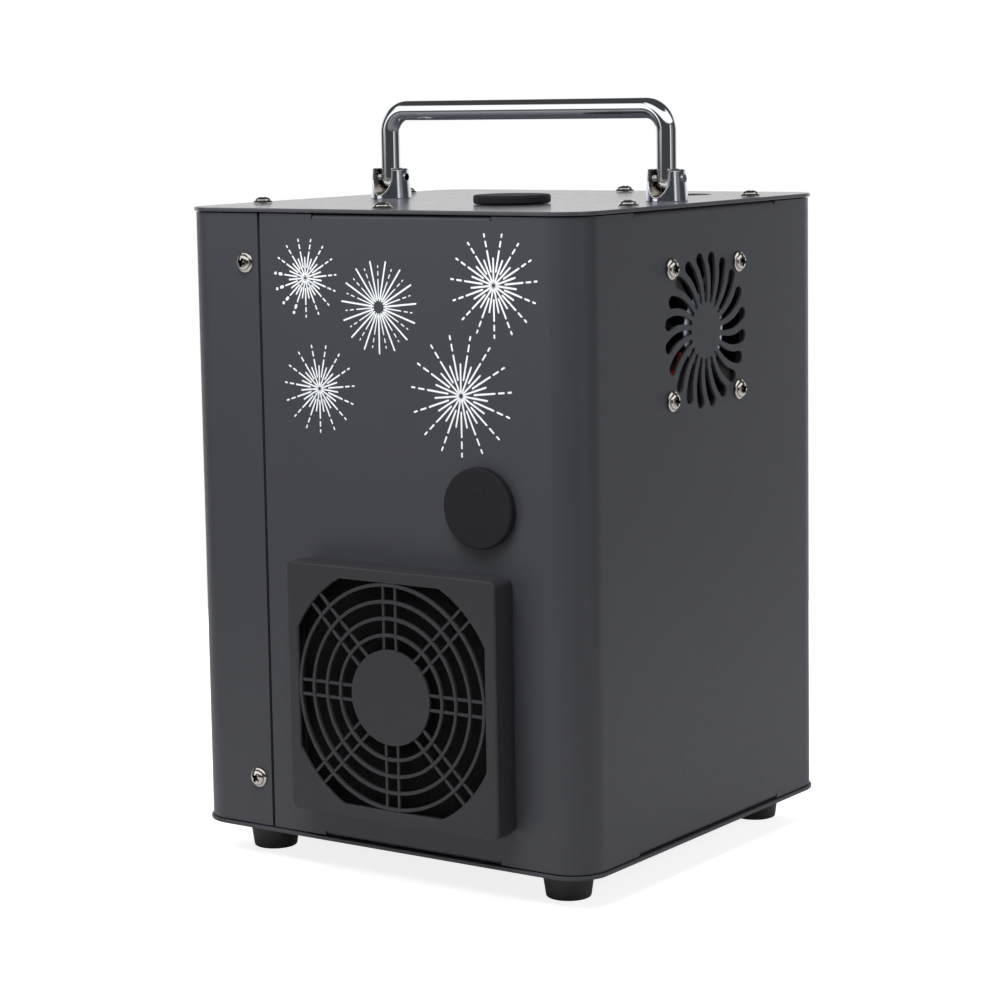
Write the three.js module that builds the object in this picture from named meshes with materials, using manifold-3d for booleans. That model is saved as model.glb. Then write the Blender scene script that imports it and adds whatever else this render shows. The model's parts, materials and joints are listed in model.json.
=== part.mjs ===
// A cold spark machine: a sheet-steel case on rubber feet, with a folding handle on top. It holds a
// powder hopper, a feed screw, a heated barrel, two fans and a blower, and its panel is at the back.
// Millimetres. X runs left to right as seen from the front, Y from front to back, and Z up.
// Every size below belongs to the case's own corner: X = 0 is the left side, Y = 0 the front and
// Z = 0 the underside of the bottom plate.

import * as THREE from "three";
import { mergeVertices } from "three/addons/utils/BufferGeometryUtils.js";
import Module from "manifold-3d";

const wasm = await Module();
wasm.setup();

// Case
const caseWidth = 186;
const caseDepth = 181;
const caseHeight = 246.5;
const sheetThickness = 1.2;
const plateThickness = 1.5;
const plateOverhang = 0.8;
const plateGap = 0.5;
const cornerRadius = 14;

// Clearances shared by all the pieces
const seatGap = 0.25;
const cutOverrun = 1;

// Seam between the main shell and the side cover
const seamAcross = 38.9;
const seamGap = 1.3;
const lipReach = 18;
const lipLap = 8;
const lipEndGap = 6;

// Screw tabs bent in from the walls' edges
const tabReach = 13;
const tabLeg = 3;
const bendRadius = 2;
const tabRelief = 0.6;
const frontTabStart = 65.5;
const frontTabEndInset = 38;
const sideTabLength = 104;

// Plate screws, with their places in from the edges
const plateScrewInset = 8;
const leftScrewOffsets = [-49.7, 48.3];
const rightScrewOffsets = [-43.3, 47.3];
const backScrewOffset = 3.9;
const screwFlangeRadius = 4;
const screwHeadRadius = 3.1;
const screwHeadHeight = 2.2;
const screwFlangeHeight = 0.5;
const domeRadiusShare = 0.8;
const domeHeightShare = 0.85;
const screwShankRadius = 1.5;
const plateScrewLength = 6;

// Cover screws, on the strip at the front and at the back
const coverScrewAcross = 31.8;
const coverScrewInset = 21;

// Feet
const footHeight = 12.5;
const footTopRadius = 10.4;
const footBottomRadius = 8.6;
const footRecessRadius = 4.5;
const footRecessDepth = 4;
const footStemRadius = 2.4;
const footStemLength = 5;
const footSideInset = 21.7;
const footFrontInset = 21.7;
const footBackInset = 18.5;

// Filter on the front: a frame fixed to the wall, a foam sheet and a cover that clips over both
const filterFromRight = 78.5;
const filterUp = 63.6;
const filterMargin = 2.75;
const filterDepth = 12.9;
const filterCorner = 3;
const filterFaceThickness = 2;
const filterSkirtThickness = 1.8;
const filterFrameThickness = 3;
const filterFrameInset = 0.6;
const filterRimThickness = 1.6;
const filterRimDepth = 3.6;
const filterFoamThickness = 3.3;
const filterFaceBorder = 5.05;
const filterOpeningBulge = 5.8;
const grilleDiscRadius = 18.4;
const grilleDiscGap = 5.5;
const grilleRingInset = 0.6;
const grilleRingCount = 4;
const grilleSpokeCount = 8;
const grilleRingWidth = 1.4;
const grilleBarWidth = 1.2;
const grilleBarSpread = 2.8;
const grilleThickness = 1.6;
const grilleRecess = 0.2;
const supportBarWidth = 3;
const supportRingRadius = 21;
const pegRadius = 2;
const pegLength = 9;

// Intake fan behind the filter
const intakeSize = 92;
const intakeDepth = 25;
const intakeBoreWall = 2.5;
const intakeHubRadius = 19;
const intakeHoleInset = 4.75;
const intakeBladeCount = 7;

// Exhaust fan behind the vent in the right side
const ventForward = 1;
const ventDrop = 49.2;
const exhaustSize = 60;
const exhaustDepth = 15;
const exhaustBoreWall = 1.5;
const exhaustHubRadius = 15;
const exhaustHoleInset = 5;
const exhaustBladeCount = 7;
const ventScrewLength = 10;

// Sizes that both fans share
const fanCorner = 3;
const fanHoleRadius = 2.2;
const fanStrutDepth = 3;
const fanStrutWidth = 4;
const fanTipGap = 1;
const fanShaftRadius = 1.5;
const fanBladeThickness = 1.1;
const fanBladePitch = 42;
const fanBladeRoot = 5;

// Swirl slots of the vent
const slotCount = 20;
const slotInnerRadius = 11.3;
const slotBoreGap = 0.7;
const slotInnerHalfWidth = 0.9;
const slotOuterHalfWidth = 2.55;
const slotSwirl = 0.165;

// Handle: a bar that folds forward in two slotted posts
const handleLeftInset = 35.1;
const handleRightInset = 18.1;
const handleBackward = 0.5;
const handleBarRadius = 4;
const handleRise = 35.5;
const handlePivotUp = 8.5;
const handleBendRadius = 9;
const postBaseRadius = 8.6;
const postBaseHeight = 1.5;
const postRadius = 7.9;
const postTopRadius = 7.4;
const postHeight = 12;
const postChamfer = 0.6;
const postSlotGap = 0.7;
const postStudRadius = 2.5;
const postRivetRadius = 4.2;
const postRivetHeight = 1.5;
const pinRadius = 1.6;
const pinHeadHeight = 0.2;

// Filler cap on top and service plug in the front
const capFromRight = 66.5;
const capIn = 56;
const capRadius = 15;
const capThickness = 3.4;
const capNeckRadius = 12;
const capNeckDepth = 6;
const capBevel = 0.7;
const plugFromRight = 43.3;
const plugUp = 137;
const plugRadius = 15.3;
const plugThickness = 3.7;

// Spark outlet, barrel, heater and air pipe, all on one upright axis
const outletFromRight = 43.3;
const outletFromBack = 33;
const outletRadius = 10;
const barrelRadius = 11;
const barrelBoreRadius = 8;
const barrelFlangeRadius = 12.6;
const barrelFlangeThickness = 1.5;
const heaterThickness = 4;
const heaterHeight = 36;
const heaterRise = 40;
const heaterSlit = 3;
const heaterEarWidth = 9;
const heaterEarLength = 7;
const pipeRadius = 7.4;
const pipeWall = 1.4;
const pipeRise = 4;
const pipeDrop = 10;

// Feed block with its screw and motor, under the hopper
const feedBlockWidth = 24;
const feedBoreRadius = 6.5;
const feedScrewGap = 0.4;
const feedScrewCoreRadius = 2.2;
const feedScrewPitch = 20;
const feedFlightThickness = 1.6;
const feedFlightSteps = 8;
const feedBlockStart = 38;
const feedMotorRadius = 12.2;
const feedMotorLength = 26;
const feedShaftLength = 8;

// Hopper
const hopperWidth = 58;
const hopperFanGap = 13.55;
const hopperFront = 33;
const hopperBack = 79;
const hopperWall = 1.5;
const hopperShoulderDrop = 51.5;
const hopperOutletIn = 56;
const hopperOutletHalf = 9;
const hopperRimWidth = 4;

// Chassis bracket
const chassisFanGap = 2.8;
const chassisDrop = 46.5;
const chassisFront = 6;
const chassisFromBack = 12;
const chassisFlange = 16;
const shelfUp = 124.2;
const shelfThickness = 1.7;
const shelfFromRight = 18;
const shelfFront = 38;

// Blower
const blowerOffset = 25.5;
const blowerAxisHeight = 90;
const blowerRadius = 28;
const blowerWall = 1.5;
const blowerInletRadius = 14;
const impellerRadius = 21;
const impellerDiscThickness = 1.5;
const impellerBladeLength = 7;
const impellerBladeThickness = 1.2;
const impellerBladeCount = 12;
const impellerHubRadius = 6;
const blowerBossLength = 3;

// Power supply and control board, left of the chassis
const supplyLeft = 15;
const supplyChassisGap = 3.5;
const supplyFront = 45;
const supplyFromBack = 36;
const supplyHeight = 98;
const supplyTerminalDepth = 14;
const supplyTerminalDrop = 22;
const boardThickness = 1.6;
const boardFront = 40;
const boardFromBack = 41;
const boardSupplyGap = 13.25;
const boardDrop = 53.5;
const boardStandoffRadius = 3;
const boardStandoffLength = 5;
const boardStandoffInset = 6;
const boardPartHeight = 14;

// Back panel. Places run from the case's right side, which is on the left as seen from behind
const displayAcross = 89;
const displayDrop = 39.5;
const displayWidth = 70;
const displayHeight = 30;
const displayProud = 2;
const displayCorner = 2;
const displayWindowWidth = 56;
const displayWindowHeight = 17;
const displayWindowThickness = 1.5;
const displayBodyInset = 3;
const displayBodyDepth = 6;
const buttonBelowDisplay = 29;
const buttonPitch = 16;
const buttonCount = 4;
const buttonRadius = 3.7;
const buttonProud = 2;
const buttonFlangeRadius = 5;
const buttonFlangeThickness = 1;
const buttonBevel = 0.7;
const buttonTravel = 1;
const buttonSwitchSize = 6;
const displayBoardMargin = 4;
const socketBelowDisplay = 61;
const socketOffset = 17;
const socketFlangeWidth = 26;
const socketFlangeHeight = 31;
const socketFlangeThickness = 2;
const socketFlangeCorner = 3;
const socketBodyRadius = 11.5;
const socketBodyDepth = 18;
const socketCavityRadius = 9.3;
const socketCavityDepth = 13;
const socketPinRadius = 1.2;
const socketPinLength = 9;
const socketPinSpread = 4.6;
const inletAcross = 56;
const inletUp = 40;
const inletFlangeWidth = 31;
const inletFlangeHeight = 24;
const inletFlangeThickness = 2.5;
const inletFlangeCorner = 2;
const inletBodyWidth = 27;
const inletBodyHeight = 19.8;
const inletBodyDepth = 17;
const inletCavityWidth = 24.2;
const inletCavityHeight = 16.4;
const inletCavityDepth = 15;
const inletCavityChamfer = 4;
const inletPinWidth = 2;
const inletPinHeight = 4;
const inletPinLength = 10;
const inletPinSpread = 7;
const inletPinRise = 2;
const switchAcross = 102;
const switchFlangeWidth = 15;
const switchFlangeHeight = 21;
const switchFlangeThickness = 2;
const switchFlangeCorner = 1;
const switchBodyWidth = 13;
const switchBodyHeight = 19;
const switchBodyDepth = 14;
const rockerHalfWidth = 4.8;
const rockerReach = 7.6;
const rockerPivotDepth = 2;
const rockerCrown = 4.5;
const rockerTilt = 8;
const rockerDipShare = 0.7;
const rockerGap = 0.5;

// How finely round forms are cut
const fineSides = 32;
const roundSides = 24;
const mediumSides = 16;
const smallSides = 10;
const tinySides = 8;

const materials = {
  caseDark: new THREE.MeshStandardMaterial({ color: 0x4c4d51, roughness: 0.5, metalness: 0.3 }),
  guardPlastic: new THREE.MeshStandardMaterial({ color: 0x3a3b3d, roughness: 0.6, metalness: 0 }),
  foam: new THREE.MeshStandardMaterial({ color: 0x141414, roughness: 1, metalness: 0 }),
  fanPlastic: new THREE.MeshStandardMaterial({ color: 0x1b1b1c, roughness: 0.5, metalness: 0 }),
  rubber: new THREE.MeshStandardMaterial({ color: 0x29292b, roughness: 0.8, metalness: 0 }),
  chrome: new THREE.MeshStandardMaterial({ color: 0xc8cacd, roughness: 0.08, metalness: 1 }),
  nickel: new THREE.MeshStandardMaterial({ color: 0xb9b4a8, roughness: 0.2, metalness: 1 }),
  steel: new THREE.MeshStandardMaterial({ color: 0x9a9c9e, roughness: 0.4, metalness: 1 }),
  hotSteel: new THREE.MeshStandardMaterial({ color: 0x5c5650, roughness: 0.5, metalness: 1 }),
  brass: new THREE.MeshStandardMaterial({ color: 0xb08d4a, roughness: 0.35, metalness: 1 }),
  panelPlastic: new THREE.MeshStandardMaterial({ color: 0x161617, roughness: 0.45, metalness: 0 }),
  window: new THREE.MeshStandardMaterial({ color: 0x24406a, roughness: 0.15, metalness: 0 }),
  redPlastic: new THREE.MeshStandardMaterial({ color: 0xa81d1a, roughness: 0.35, metalness: 0 }),
  board: new THREE.MeshStandardMaterial({ color: 0x1d5a34, roughness: 0.5, metalness: 0 }),
};

// Places and sizes worked out from the values above
const wallBottom = plateThickness + plateGap;
const wallTop = caseHeight - wallBottom;
const underPlate = caseHeight - plateThickness - seatGap;
const behindWall = -sheetThickness - seatGap;
const middleAcross = caseWidth / 2;
const middleIn = caseDepth / 2;
const frontTabEnd = caseWidth - frontTabEndInset;
const backScrewAcross = middleAcross + backScrewOffset;

const filterAcross = caseWidth - filterFromRight;
const filterSize = intakeSize + 2 * filterMargin;
const filterOpeningHalf = filterSize / 2 - filterFaceBorder;
const filterOpeningRadius = filterOpeningHalf + filterOpeningBulge;
const grilleRingRadius = grilleDiscRadius + grilleDiscGap;
const grilleLastRing = filterOpeningHalf - grilleRingInset;
const grilleRingPitch = (grilleLastRing - grilleRingRadius) / (grilleRingCount - 1);
const intakeBoreRadius = intakeSize / 2 - intakeBoreWall;
const intakeHolePitch = intakeSize - 2 * intakeHoleInset;

const ventAcross = middleIn - ventForward;
const ventUp = caseHeight - ventDrop;
const exhaustBoreRadius = exhaustSize / 2 - exhaustBoreWall;
const exhaustHolePitch = exhaustSize - 2 * exhaustHoleInset;
const slotOuterRadius = exhaustBoreRadius - slotBoreGap;

const handleSpan = caseWidth - handleLeftInset - handleRightInset;
const handleAcross = handleLeftInset + handleSpan / 2;
const handleIn = middleIn + handleBackward;

const capAcross = caseWidth - capFromRight;
const plugAcross = caseWidth - plugFromRight;
const outletAcross = caseWidth - outletFromRight;
const outletIn = caseDepth - outletFromBack;
const feedAcross = outletAcross;
const feedUp = plugUp;
const hopperRight = caseWidth + behindWall - exhaustDepth - hopperFanGap;
const hopperLeft = hopperRight - hopperWidth;
const hopperShoulderUp = caseHeight - hopperShoulderDrop;

const chassisAcross = filterAcross - intakeSize / 2 - chassisFanGap - sheetThickness;
const chassisTop = caseHeight - chassisDrop;
const chassisBack = caseDepth - chassisFromBack;
const shelfTop = shelfUp + shelfThickness;
const underShelf = shelfUp - seatGap;
const shelfRight = caseWidth - shelfFromRight;
const blowerAcross = outletAcross - blowerOffset;
const supplyRight = chassisAcross - supplyChassisGap;
const supplyBack = caseDepth - supplyFromBack;
const boardBack = caseDepth - boardFromBack;
const supplyTop = plateThickness + seatGap + supplyHeight;
const boardTop = caseHeight - boardDrop;
const boardBottom = supplyTop + boardSupplyGap;

const displayUp = caseHeight - displayDrop;
const buttonUp = displayUp - buttonBelowDisplay;
const socketUp = displayUp - socketBelowDisplay;
const socketInAcross = displayAcross + socketOffset;
const socketOutAcross = displayAcross - socketOffset;

// Closed meshes as solids, and back again

function asSolid(geometry) {
  const bare = geometry.clone();
  for (const name of Object.keys(bare.attributes)) {
    if (name !== "position") bare.deleteAttribute(name);
  }
  const merged = mergeVertices(bare);
  const kept = [];
  for (let corner = 0; corner < merged.index.count; corner += 3) {
    const [a, b, c] = [0, 1, 2].map((step) => merged.index.getX(corner + step));
    if (a !== b && b !== c && c !== a) kept.push(a, b, c);
  }
  return new wasm.Manifold(new wasm.Mesh({
    numProp: 3,
    vertProperties: new Float32Array(merged.attributes.position.array),
    triVerts: new Uint32Array(kept),
  }));
}

function asGeometry(solid) {
  const mesh = solid.getMesh();
  const geometry = new THREE.BufferGeometry();
  geometry.setAttribute("position", new THREE.BufferAttribute(mesh.vertProperties, 3));
  geometry.setIndex(new THREE.BufferAttribute(mesh.triVerts, 1));
  geometry.computeVertexNormals();
  return geometry;
}

function joined(...pieces) {
  return asGeometry(pieces.map(asSolid).reduce((whole, piece) => whole.add(piece)));
}

function cut(piece, ...tools) {
  return asGeometry(tools.map(asSolid).reduce((rest, tool) => rest.subtract(tool), asSolid(piece)));
}

function shared(piece, other) {
  return asGeometry(asSolid(piece).intersect(asSolid(other)));
}

// Simple forms

function block([left, right], [front, back], [bottom, top]) {
  const geometry = new THREE.BoxGeometry(right - left, back - front, top - bottom);
  return geometry.translate((left + right) / 2, (front + back) / 2, (bottom + top) / 2);
}

function centredBlock(width, height, [bottom, top], [x, y] = [0, 0]) {
  return block([x - width / 2, x + width / 2], [y - height / 2, y + height / 2], [bottom, top]);
}

function rod(radius, [from, to], sides = roundSides, [x, y] = [0, 0]) {
  const geometry = new THREE.CylinderGeometry(radius, radius, to - from, sides);
  return geometry.rotateX(Math.PI / 2).translate(x, y, (from + to) / 2);
}

function rodAlongX(radius, [from, to], sides = roundSides) {
  return rod(radius, [from, to], sides).rotateY(Math.PI / 2);
}

function rodAlongY(radius, [from, to], sides = roundSides) {
  return rod(radius, [-to, -from], sides).rotateX(Math.PI / 2);
}

function turned(profile, sides = roundSides) {
  const points = profile.map(([radius, height]) => new THREE.Vector2(radius, height));
  return new THREE.LatheGeometry(points, sides).rotateX(Math.PI / 2);
}

function slab(outline, [from, to], cornerSteps = 1) {
  const geometry = new THREE.ExtrudeGeometry(outline, {
    depth: to - from,
    bevelEnabled: false,
    curveSegments: cornerSteps,
  });
  return geometry.translate(0, 0, from);
}

function polygon(points) {
  return new THREE.Shape(points.map(([x, y]) => new THREE.Vector2(x, y)));
}

function roundedRectangle([x0, x1], [y0, y1], radius) {
  const outline = new THREE.Shape();
  const corners = [
    [x1 - radius, y0 + radius],
    [x1 - radius, y1 - radius],
    [x0 + radius, y1 - radius],
    [x0 + radius, y0 + radius],
  ];
  corners.forEach(([x, y], turn) => {
    outline.absarc(x, y, radius, (turn - 1) * Math.PI / 2, turn * Math.PI / 2);
  });
  return outline;
}

function roundedSquare(size, radius) {
  return roundedRectangle([-size / 2, size / 2], [-size / 2, size / 2], radius);
}

function polar(radius, angle) {
  return [radius * Math.cos(angle), radius * Math.sin(angle)];
}

function fourCorners(pitch) {
  const half = pitch / 2;
  return [[half, half], [-half, half], [-half, -half], [half, -half]];
}

// Each wall's frame: across from the viewer's left, up from the case's floor, and outwards

const wallFrames = {
  front: { corner: [0, 0, 0], across: [1, 0, 0], out: [0, -1, 0] },
  right: { corner: [caseWidth, 0, 0], across: [0, 1, 0], out: [1, 0, 0] },
  back: { corner: [caseWidth, caseDepth, 0], across: [-1, 0, 0], out: [0, 1, 0] },
  left: { corner: [0, caseDepth, 0], across: [0, -1, 0], out: [-1, 0, 0] },
};

function wallMatrix(wall) {
  const { corner, across, out } = wallFrames[wall];
  const matrix = new THREE.Matrix4();
  matrix.makeBasis(new THREE.Vector3(...across), new THREE.Vector3(0, 0, 1), new THREE.Vector3(...out));
  return matrix.setPosition(...corner);
}

function onWall(wall, geometry, [across, up] = [0, 0]) {
  return geometry.clone().translate(across, up, 0).applyMatrix4(wallMatrix(wall));
}

// The case's sheets

const throughWall = [-sheetThickness - cutOverrun, cutOverrun];
const caseCornerSteps = 4;

function wallRing() {
  const outline = roundedRectangle([0, caseWidth], [0, caseDepth], cornerRadius);
  const inside = [sheetThickness, caseWidth - sheetThickness];
  const insideDepth = [sheetThickness, caseDepth - sheetThickness];
  outline.holes.push(roundedRectangle(inside, insideDepth, cornerRadius - sheetThickness));
  return slab(outline, [wallBottom, wallTop], caseCornerSteps);
}

function bend(radius, steps = 4) {
  return Array.from({ length: steps + 1 }, (_, step) => {
    const [x, y] = polar(radius, Math.PI - step * Math.PI / 2 / steps);
    return [bendRadius + x, underPlate - bendRadius + y];
  });
}

function screwTab(wall, [start, end], level = (up) => up) {
  const leg = underPlate - bendRadius - tabLeg;
  const section = [
    [0, leg],
    ...bend(bendRadius),
    [tabReach, underPlate],
    [tabReach, underPlate - sheetThickness],
    ...bend(bendRadius - sheetThickness).reverse(),
    [sheetThickness, leg],
  ];
  const outline = polygon(section.map(([inwards, up]) => [-inwards, level(up)]));
  return onWall(wall, slab(outline, [-end, -start]).rotateY(-Math.PI / 2));
}

function tabNotch(wall, [start, end], [bottom, top]) {
  return onWall(wall, block([start - tabRelief, end + tabRelief], [bottom, top], throughWall));
}

function fromFloor(up) {
  return caseHeight - up;
}

function withTabs(sheet, places) {
  const notchBottom = underPlate - bendRadius;
  const notches = places.flatMap(([wall, span]) => [
    tabNotch(wall, span, [notchBottom, wallTop + cutOverrun]),
    tabNotch(wall, span, [wallBottom - cutOverrun, fromFloor(notchBottom)]),
  ]);
  const tabs = places.flatMap(([wall, span]) => [screwTab(wall, span), screwTab(wall, span, fromFloor)]);
  return joined(cut(sheet, ...notches), ...tabs);
}

function frontTabSpan() {
  return [frontTabStart, frontTabEnd];
}

function backTabSpan() {
  return [caseWidth - frontTabEnd, caseWidth - frontTabStart];
}

function sideTabSpan() {
  return [middleIn - sideTabLength / 2, middleIn + sideTabLength / 2];
}

function plateScrewPlaces() {
  return [
    ...leftScrewOffsets.map((offset) => [plateScrewInset, middleIn + offset]),
    ...rightScrewOffsets.map((offset) => [caseWidth - plateScrewInset, middleIn + offset]),
    [middleAcross, plateScrewInset],
    [backScrewAcross, caseDepth - plateScrewInset],
  ];
}

function plateScrewHoles() {
  const reach = [underPlate - sheetThickness - cutOverrun, caseHeight + cutOverrun];
  const radius = screwShankRadius + seatGap;
  return plateScrewPlaces().map((place) => rod(radius, reach, tinySides, place));
}

function coverScrewPlaces() {
  const ups = [coverScrewInset, caseHeight - coverScrewInset];
  return ups.flatMap((up) => [
    ["front", [coverScrewAcross, up]],
    ["back", [caseWidth - coverScrewAcross, up]],
  ]);
}

function coverScrewHoles() {
  const reach = [-2 * sheetThickness - seatGap - cutOverrun, cutOverrun];
  const hole = rod(screwShankRadius + seatGap, reach, tinySides);
  return coverScrewPlaces().map(([wall, place]) => onWall(wall, hole, place));
}

// A lip welded behind the main shell's edge, which the side cover's strip lies over
function shellLip(wall, mirrored) {
  const outer = -sheetThickness - seatGap;
  const inner = outer - sheetThickness;
  const edge = seamAcross + seamGap / 2;
  const ups = [wallBottom + lipEndGap, wallTop - lipEndGap];
  const span = (from, to) => (mirrored ? [caseWidth - to, caseWidth - from] : [from, to]);
  const lip = block(span(seamAcross - lipReach, edge + lipLap), ups, [inner, outer]);
  const weld = block(span(edge, edge + lipLap), ups, [outer - seatGap, -sheetThickness / 2]);
  return [onWall(wall, lip), onWall(wall, weld)];
}

function mainShell() {
  const edge = seamAcross + seamGap / 2;
  const coverSide = block(
    [-cutOverrun, edge],
    [-cutOverrun, caseDepth + cutOverrun],
    [0, caseHeight],
  );
  const sheet = withTabs(cut(wallRing(), coverSide), [
    ["front", frontTabSpan()],
    ["right", sideTabSpan()],
    ["back", backTabSpan()],
  ]);
  const shell = joined(sheet, ...shellLip("front", false), ...shellLip("back", true));
  return cut(
    shell,
    ...frontHoles(),
    ...ventHoles(),
    ...panelHoles(),
    ...plateScrewHoles(),
    ...coverScrewHoles(),
  );
}

function sideCover() {
  const shellSide = block(
    [seamAcross - seamGap / 2, caseWidth + cutOverrun],
    [-cutOverrun, caseDepth + cutOverrun],
    [0, caseHeight],
  );
  const sheet = withTabs(cut(wallRing(), shellSide), [["left", sideTabSpan()]]);
  return cut(sheet, ...plateScrewHoles(), ...coverScrewHoles());
}

function plateOutline() {
  const across = [-plateOverhang, caseWidth + plateOverhang];
  const into = [-plateOverhang, caseDepth + plateOverhang];
  return roundedRectangle(across, into, cornerRadius + plateOverhang);
}

function topPlate() {
  const reach = [caseHeight - plateThickness - cutOverrun, caseHeight + cutOverrun];
  const stud = postStudRadius + seatGap;
  return cut(
    slab(plateOutline(), [caseHeight - plateThickness, caseHeight], caseCornerSteps),
    ...plateScrewHoles(),
    rod(capNeckRadius + seatGap, reach, roundSides, [capAcross, capIn]),
    rod(outletRadius, reach, roundSides, [outletAcross, outletIn]),
    ...postPlaces().map((across) => rod(stud, reach, smallSides, [across, handleIn])),
  );
}

function bottomPlate() {
  const stem = footStemRadius + seatGap;
  const reach = [-cutOverrun, plateThickness + cutOverrun];
  return cut(
    slab(plateOutline(), [0, plateThickness], caseCornerSteps),
    ...footPlaces().map((place) => rod(stem, reach, tinySides, place)),
  );
}

// Fasteners and feet

function screw(shankLength) {
  return turned([
    [0, -shankLength],
    [screwShankRadius, -shankLength],
    [screwShankRadius, 0],
    [screwFlangeRadius, 0],
    [screwFlangeRadius, screwFlangeHeight],
    [screwHeadRadius, screwFlangeHeight],
    [screwHeadRadius * domeRadiusShare, screwHeadHeight * domeHeightShare],
    [0, screwHeadHeight],
  ], tinySides);
}

function footPlaces() {
  return [footSideInset, caseWidth - footSideInset].flatMap((across) => (
    [footFrontInset, caseDepth - footBackInset].map((into) => [across, into])
  ));
}

function foot() {
  return turned([
    [0, footRecessDepth - footHeight],
    [footRecessRadius, footRecessDepth - footHeight],
    [footRecessRadius, -footHeight],
    [footBottomRadius, -footHeight],
    [footTopRadius, -seatGap],
    [footStemRadius, -seatGap],
    [footStemRadius, footStemLength],
    [0, footStemLength],
  ], mediumSides);
}

// Filter, drawn in the front wall's frame about its own centre

function annulus(middleRadius, width, [from, to], sides = roundSides) {
  const half = width / 2;
  return cut(
    rod(middleRadius + half, [from, to], sides),
    rod(middleRadius - half, [from - cutOverrun, to + cutOverrun], sides),
  );
}

function filterOpening([from, to]) {
  const side = 2 * filterOpeningHalf;
  return shared(centredBlock(side, side, [from, to]), rod(filterOpeningRadius, [from, to], fineSides));
}

function grille() {
  const depths = [
    filterDepth - grilleRecess - grilleThickness,
    filterDepth - grilleRecess,
  ];
  const rings = Array.from({ length: grilleRingCount }, (_, ring) => (
    annulus(grilleRingRadius + ring * grilleRingPitch, grilleRingWidth, depths)
  ));
  const inner = grilleDiscRadius - grilleBarSpread;
  const bars = Array.from({ length: grilleSpokeCount }, (_, spoke) => {
    const diagonal = spoke % 2 === 1;
    const outer = diagonal ? filterOpeningRadius + grilleBarWidth : grilleLastRing;
    return [-grilleBarSpread, grilleBarSpread].map((side) => (
      block([inner, outer], [side - grilleBarWidth / 2, side + grilleBarWidth / 2], depths)
        .rotateZ(spoke * 2 * Math.PI / grilleSpokeCount)
    ));
  });
  return joined(rod(grilleDiscRadius, depths), ...rings, ...bars.flat());
}

function filterCover() {
  const back = seatGap + filterFrameThickness + seatGap;
  const face = filterDepth - filterFaceThickness;
  const inner = filterSize - 2 * filterSkirtThickness;
  const shell = cut(
    slab(roundedSquare(filterSize, filterCorner), [back, filterDepth]),
    slab(roundedSquare(inner, filterCorner - filterSkirtThickness), [back - cutOverrun, face]),
    filterOpening([back, filterDepth + cutOverrun]),
  );
  return joined(shell, grille());
}

function pegPlaces() {
  return fourCorners(intakeHolePitch);
}

function filterFrame() {
  const outer = filterSize - 2 * filterFrameInset;
  const rim = filterSize - 2 * (filterSkirtThickness + seatGap);
  const front = seatGap + filterFrameThickness;
  const rimFront = front + filterRimDepth;
  const plate = slab(roundedSquare(outer, filterCorner), [seatGap, front]);
  const rimWall = cut(
    slab(roundedSquare(rim, filterCorner), [seatGap, rimFront]),
    slab(roundedSquare(rim - 2 * filterRimThickness, filterCorner), [-cutOverrun, rimFront + cutOverrun]),
  );
  const opening = rod(intakeBoreRadius, [-cutOverrun, rimFront + cutOverrun], roundSides);
  const barHalf = intakeBoreRadius + cutOverrun;
  const bars = [0, 1].map((turn) => (
    block([-barHalf, barHalf], [-supportBarWidth / 2, supportBarWidth / 2], [seatGap, front])
      .rotateZ(turn * Math.PI / 2)
  ));
  const ring = annulus(supportRingRadius, supportBarWidth, [seatGap, front], mediumSides);
  const pegs = pegPlaces().map((place) => rod(pegRadius, [-pegLength, front], tinySides, place));
  return joined(cut(plate, opening), rimWall, ...bars, ring, ...pegs);
}

function filterFoam() {
  const rim = filterSize - 2 * (filterSkirtThickness + seatGap);
  const size = rim - 2 * (filterRimThickness + seatGap);
  const back = seatGap + filterFrameThickness + seatGap;
  return slab(roundedSquare(size, filterCorner - seatGap), [back, back + filterFoamThickness]);
}

function frontHoles() {
  const filterPlace = [filterAcross, filterUp];
  return [
    onWall("front", rod(intakeBoreRadius, throughWall, roundSides), filterPlace),
    ...pegPlaces().map((place) => (
      onWall("front", rod(pegRadius + seatGap, throughWall, tinySides, place), filterPlace)
    )),
    onWall("front", rod(capNeckRadius + seatGap, throughWall), [plugAcross, plugUp]),
  ];
}

// Fans, drawn about their own axis, with their outer face at height 0 and the body below it

function fanFrame({ size, depth, boreRadius, hubRadius, holePitch, strutsOutside }) {
  const strutFloor = strutsOutside ? -fanStrutDepth : -depth;
  const struts = [strutFloor, strutFloor + fanStrutDepth];
  const arms = Array.from({ length: 4 }, (_, arm) => (
    block([0, boreRadius + cutOverrun], [-fanStrutWidth / 2, fanStrutWidth / 2], struts)
      .rotateZ((arm + 1 / 2) * Math.PI / 2)
  ));
  const body = cut(
    slab(roundedSquare(size, fanCorner), [-depth, 0]),
    rod(boreRadius, [-depth - cutOverrun, cutOverrun], roundSides),
    ...fourCorners(holePitch).map((place) => (
      rod(fanHoleRadius, [-depth - cutOverrun, cutOverrun], tinySides, place)
    )),
  );
  return cut(
    joined(body, ...arms, rod(hubRadius, struts, mediumSides)),
    rod(fanShaftRadius + seatGap, [struts[0] - cutOverrun, struts[1] + cutOverrun], tinySides),
  );
}

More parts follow.
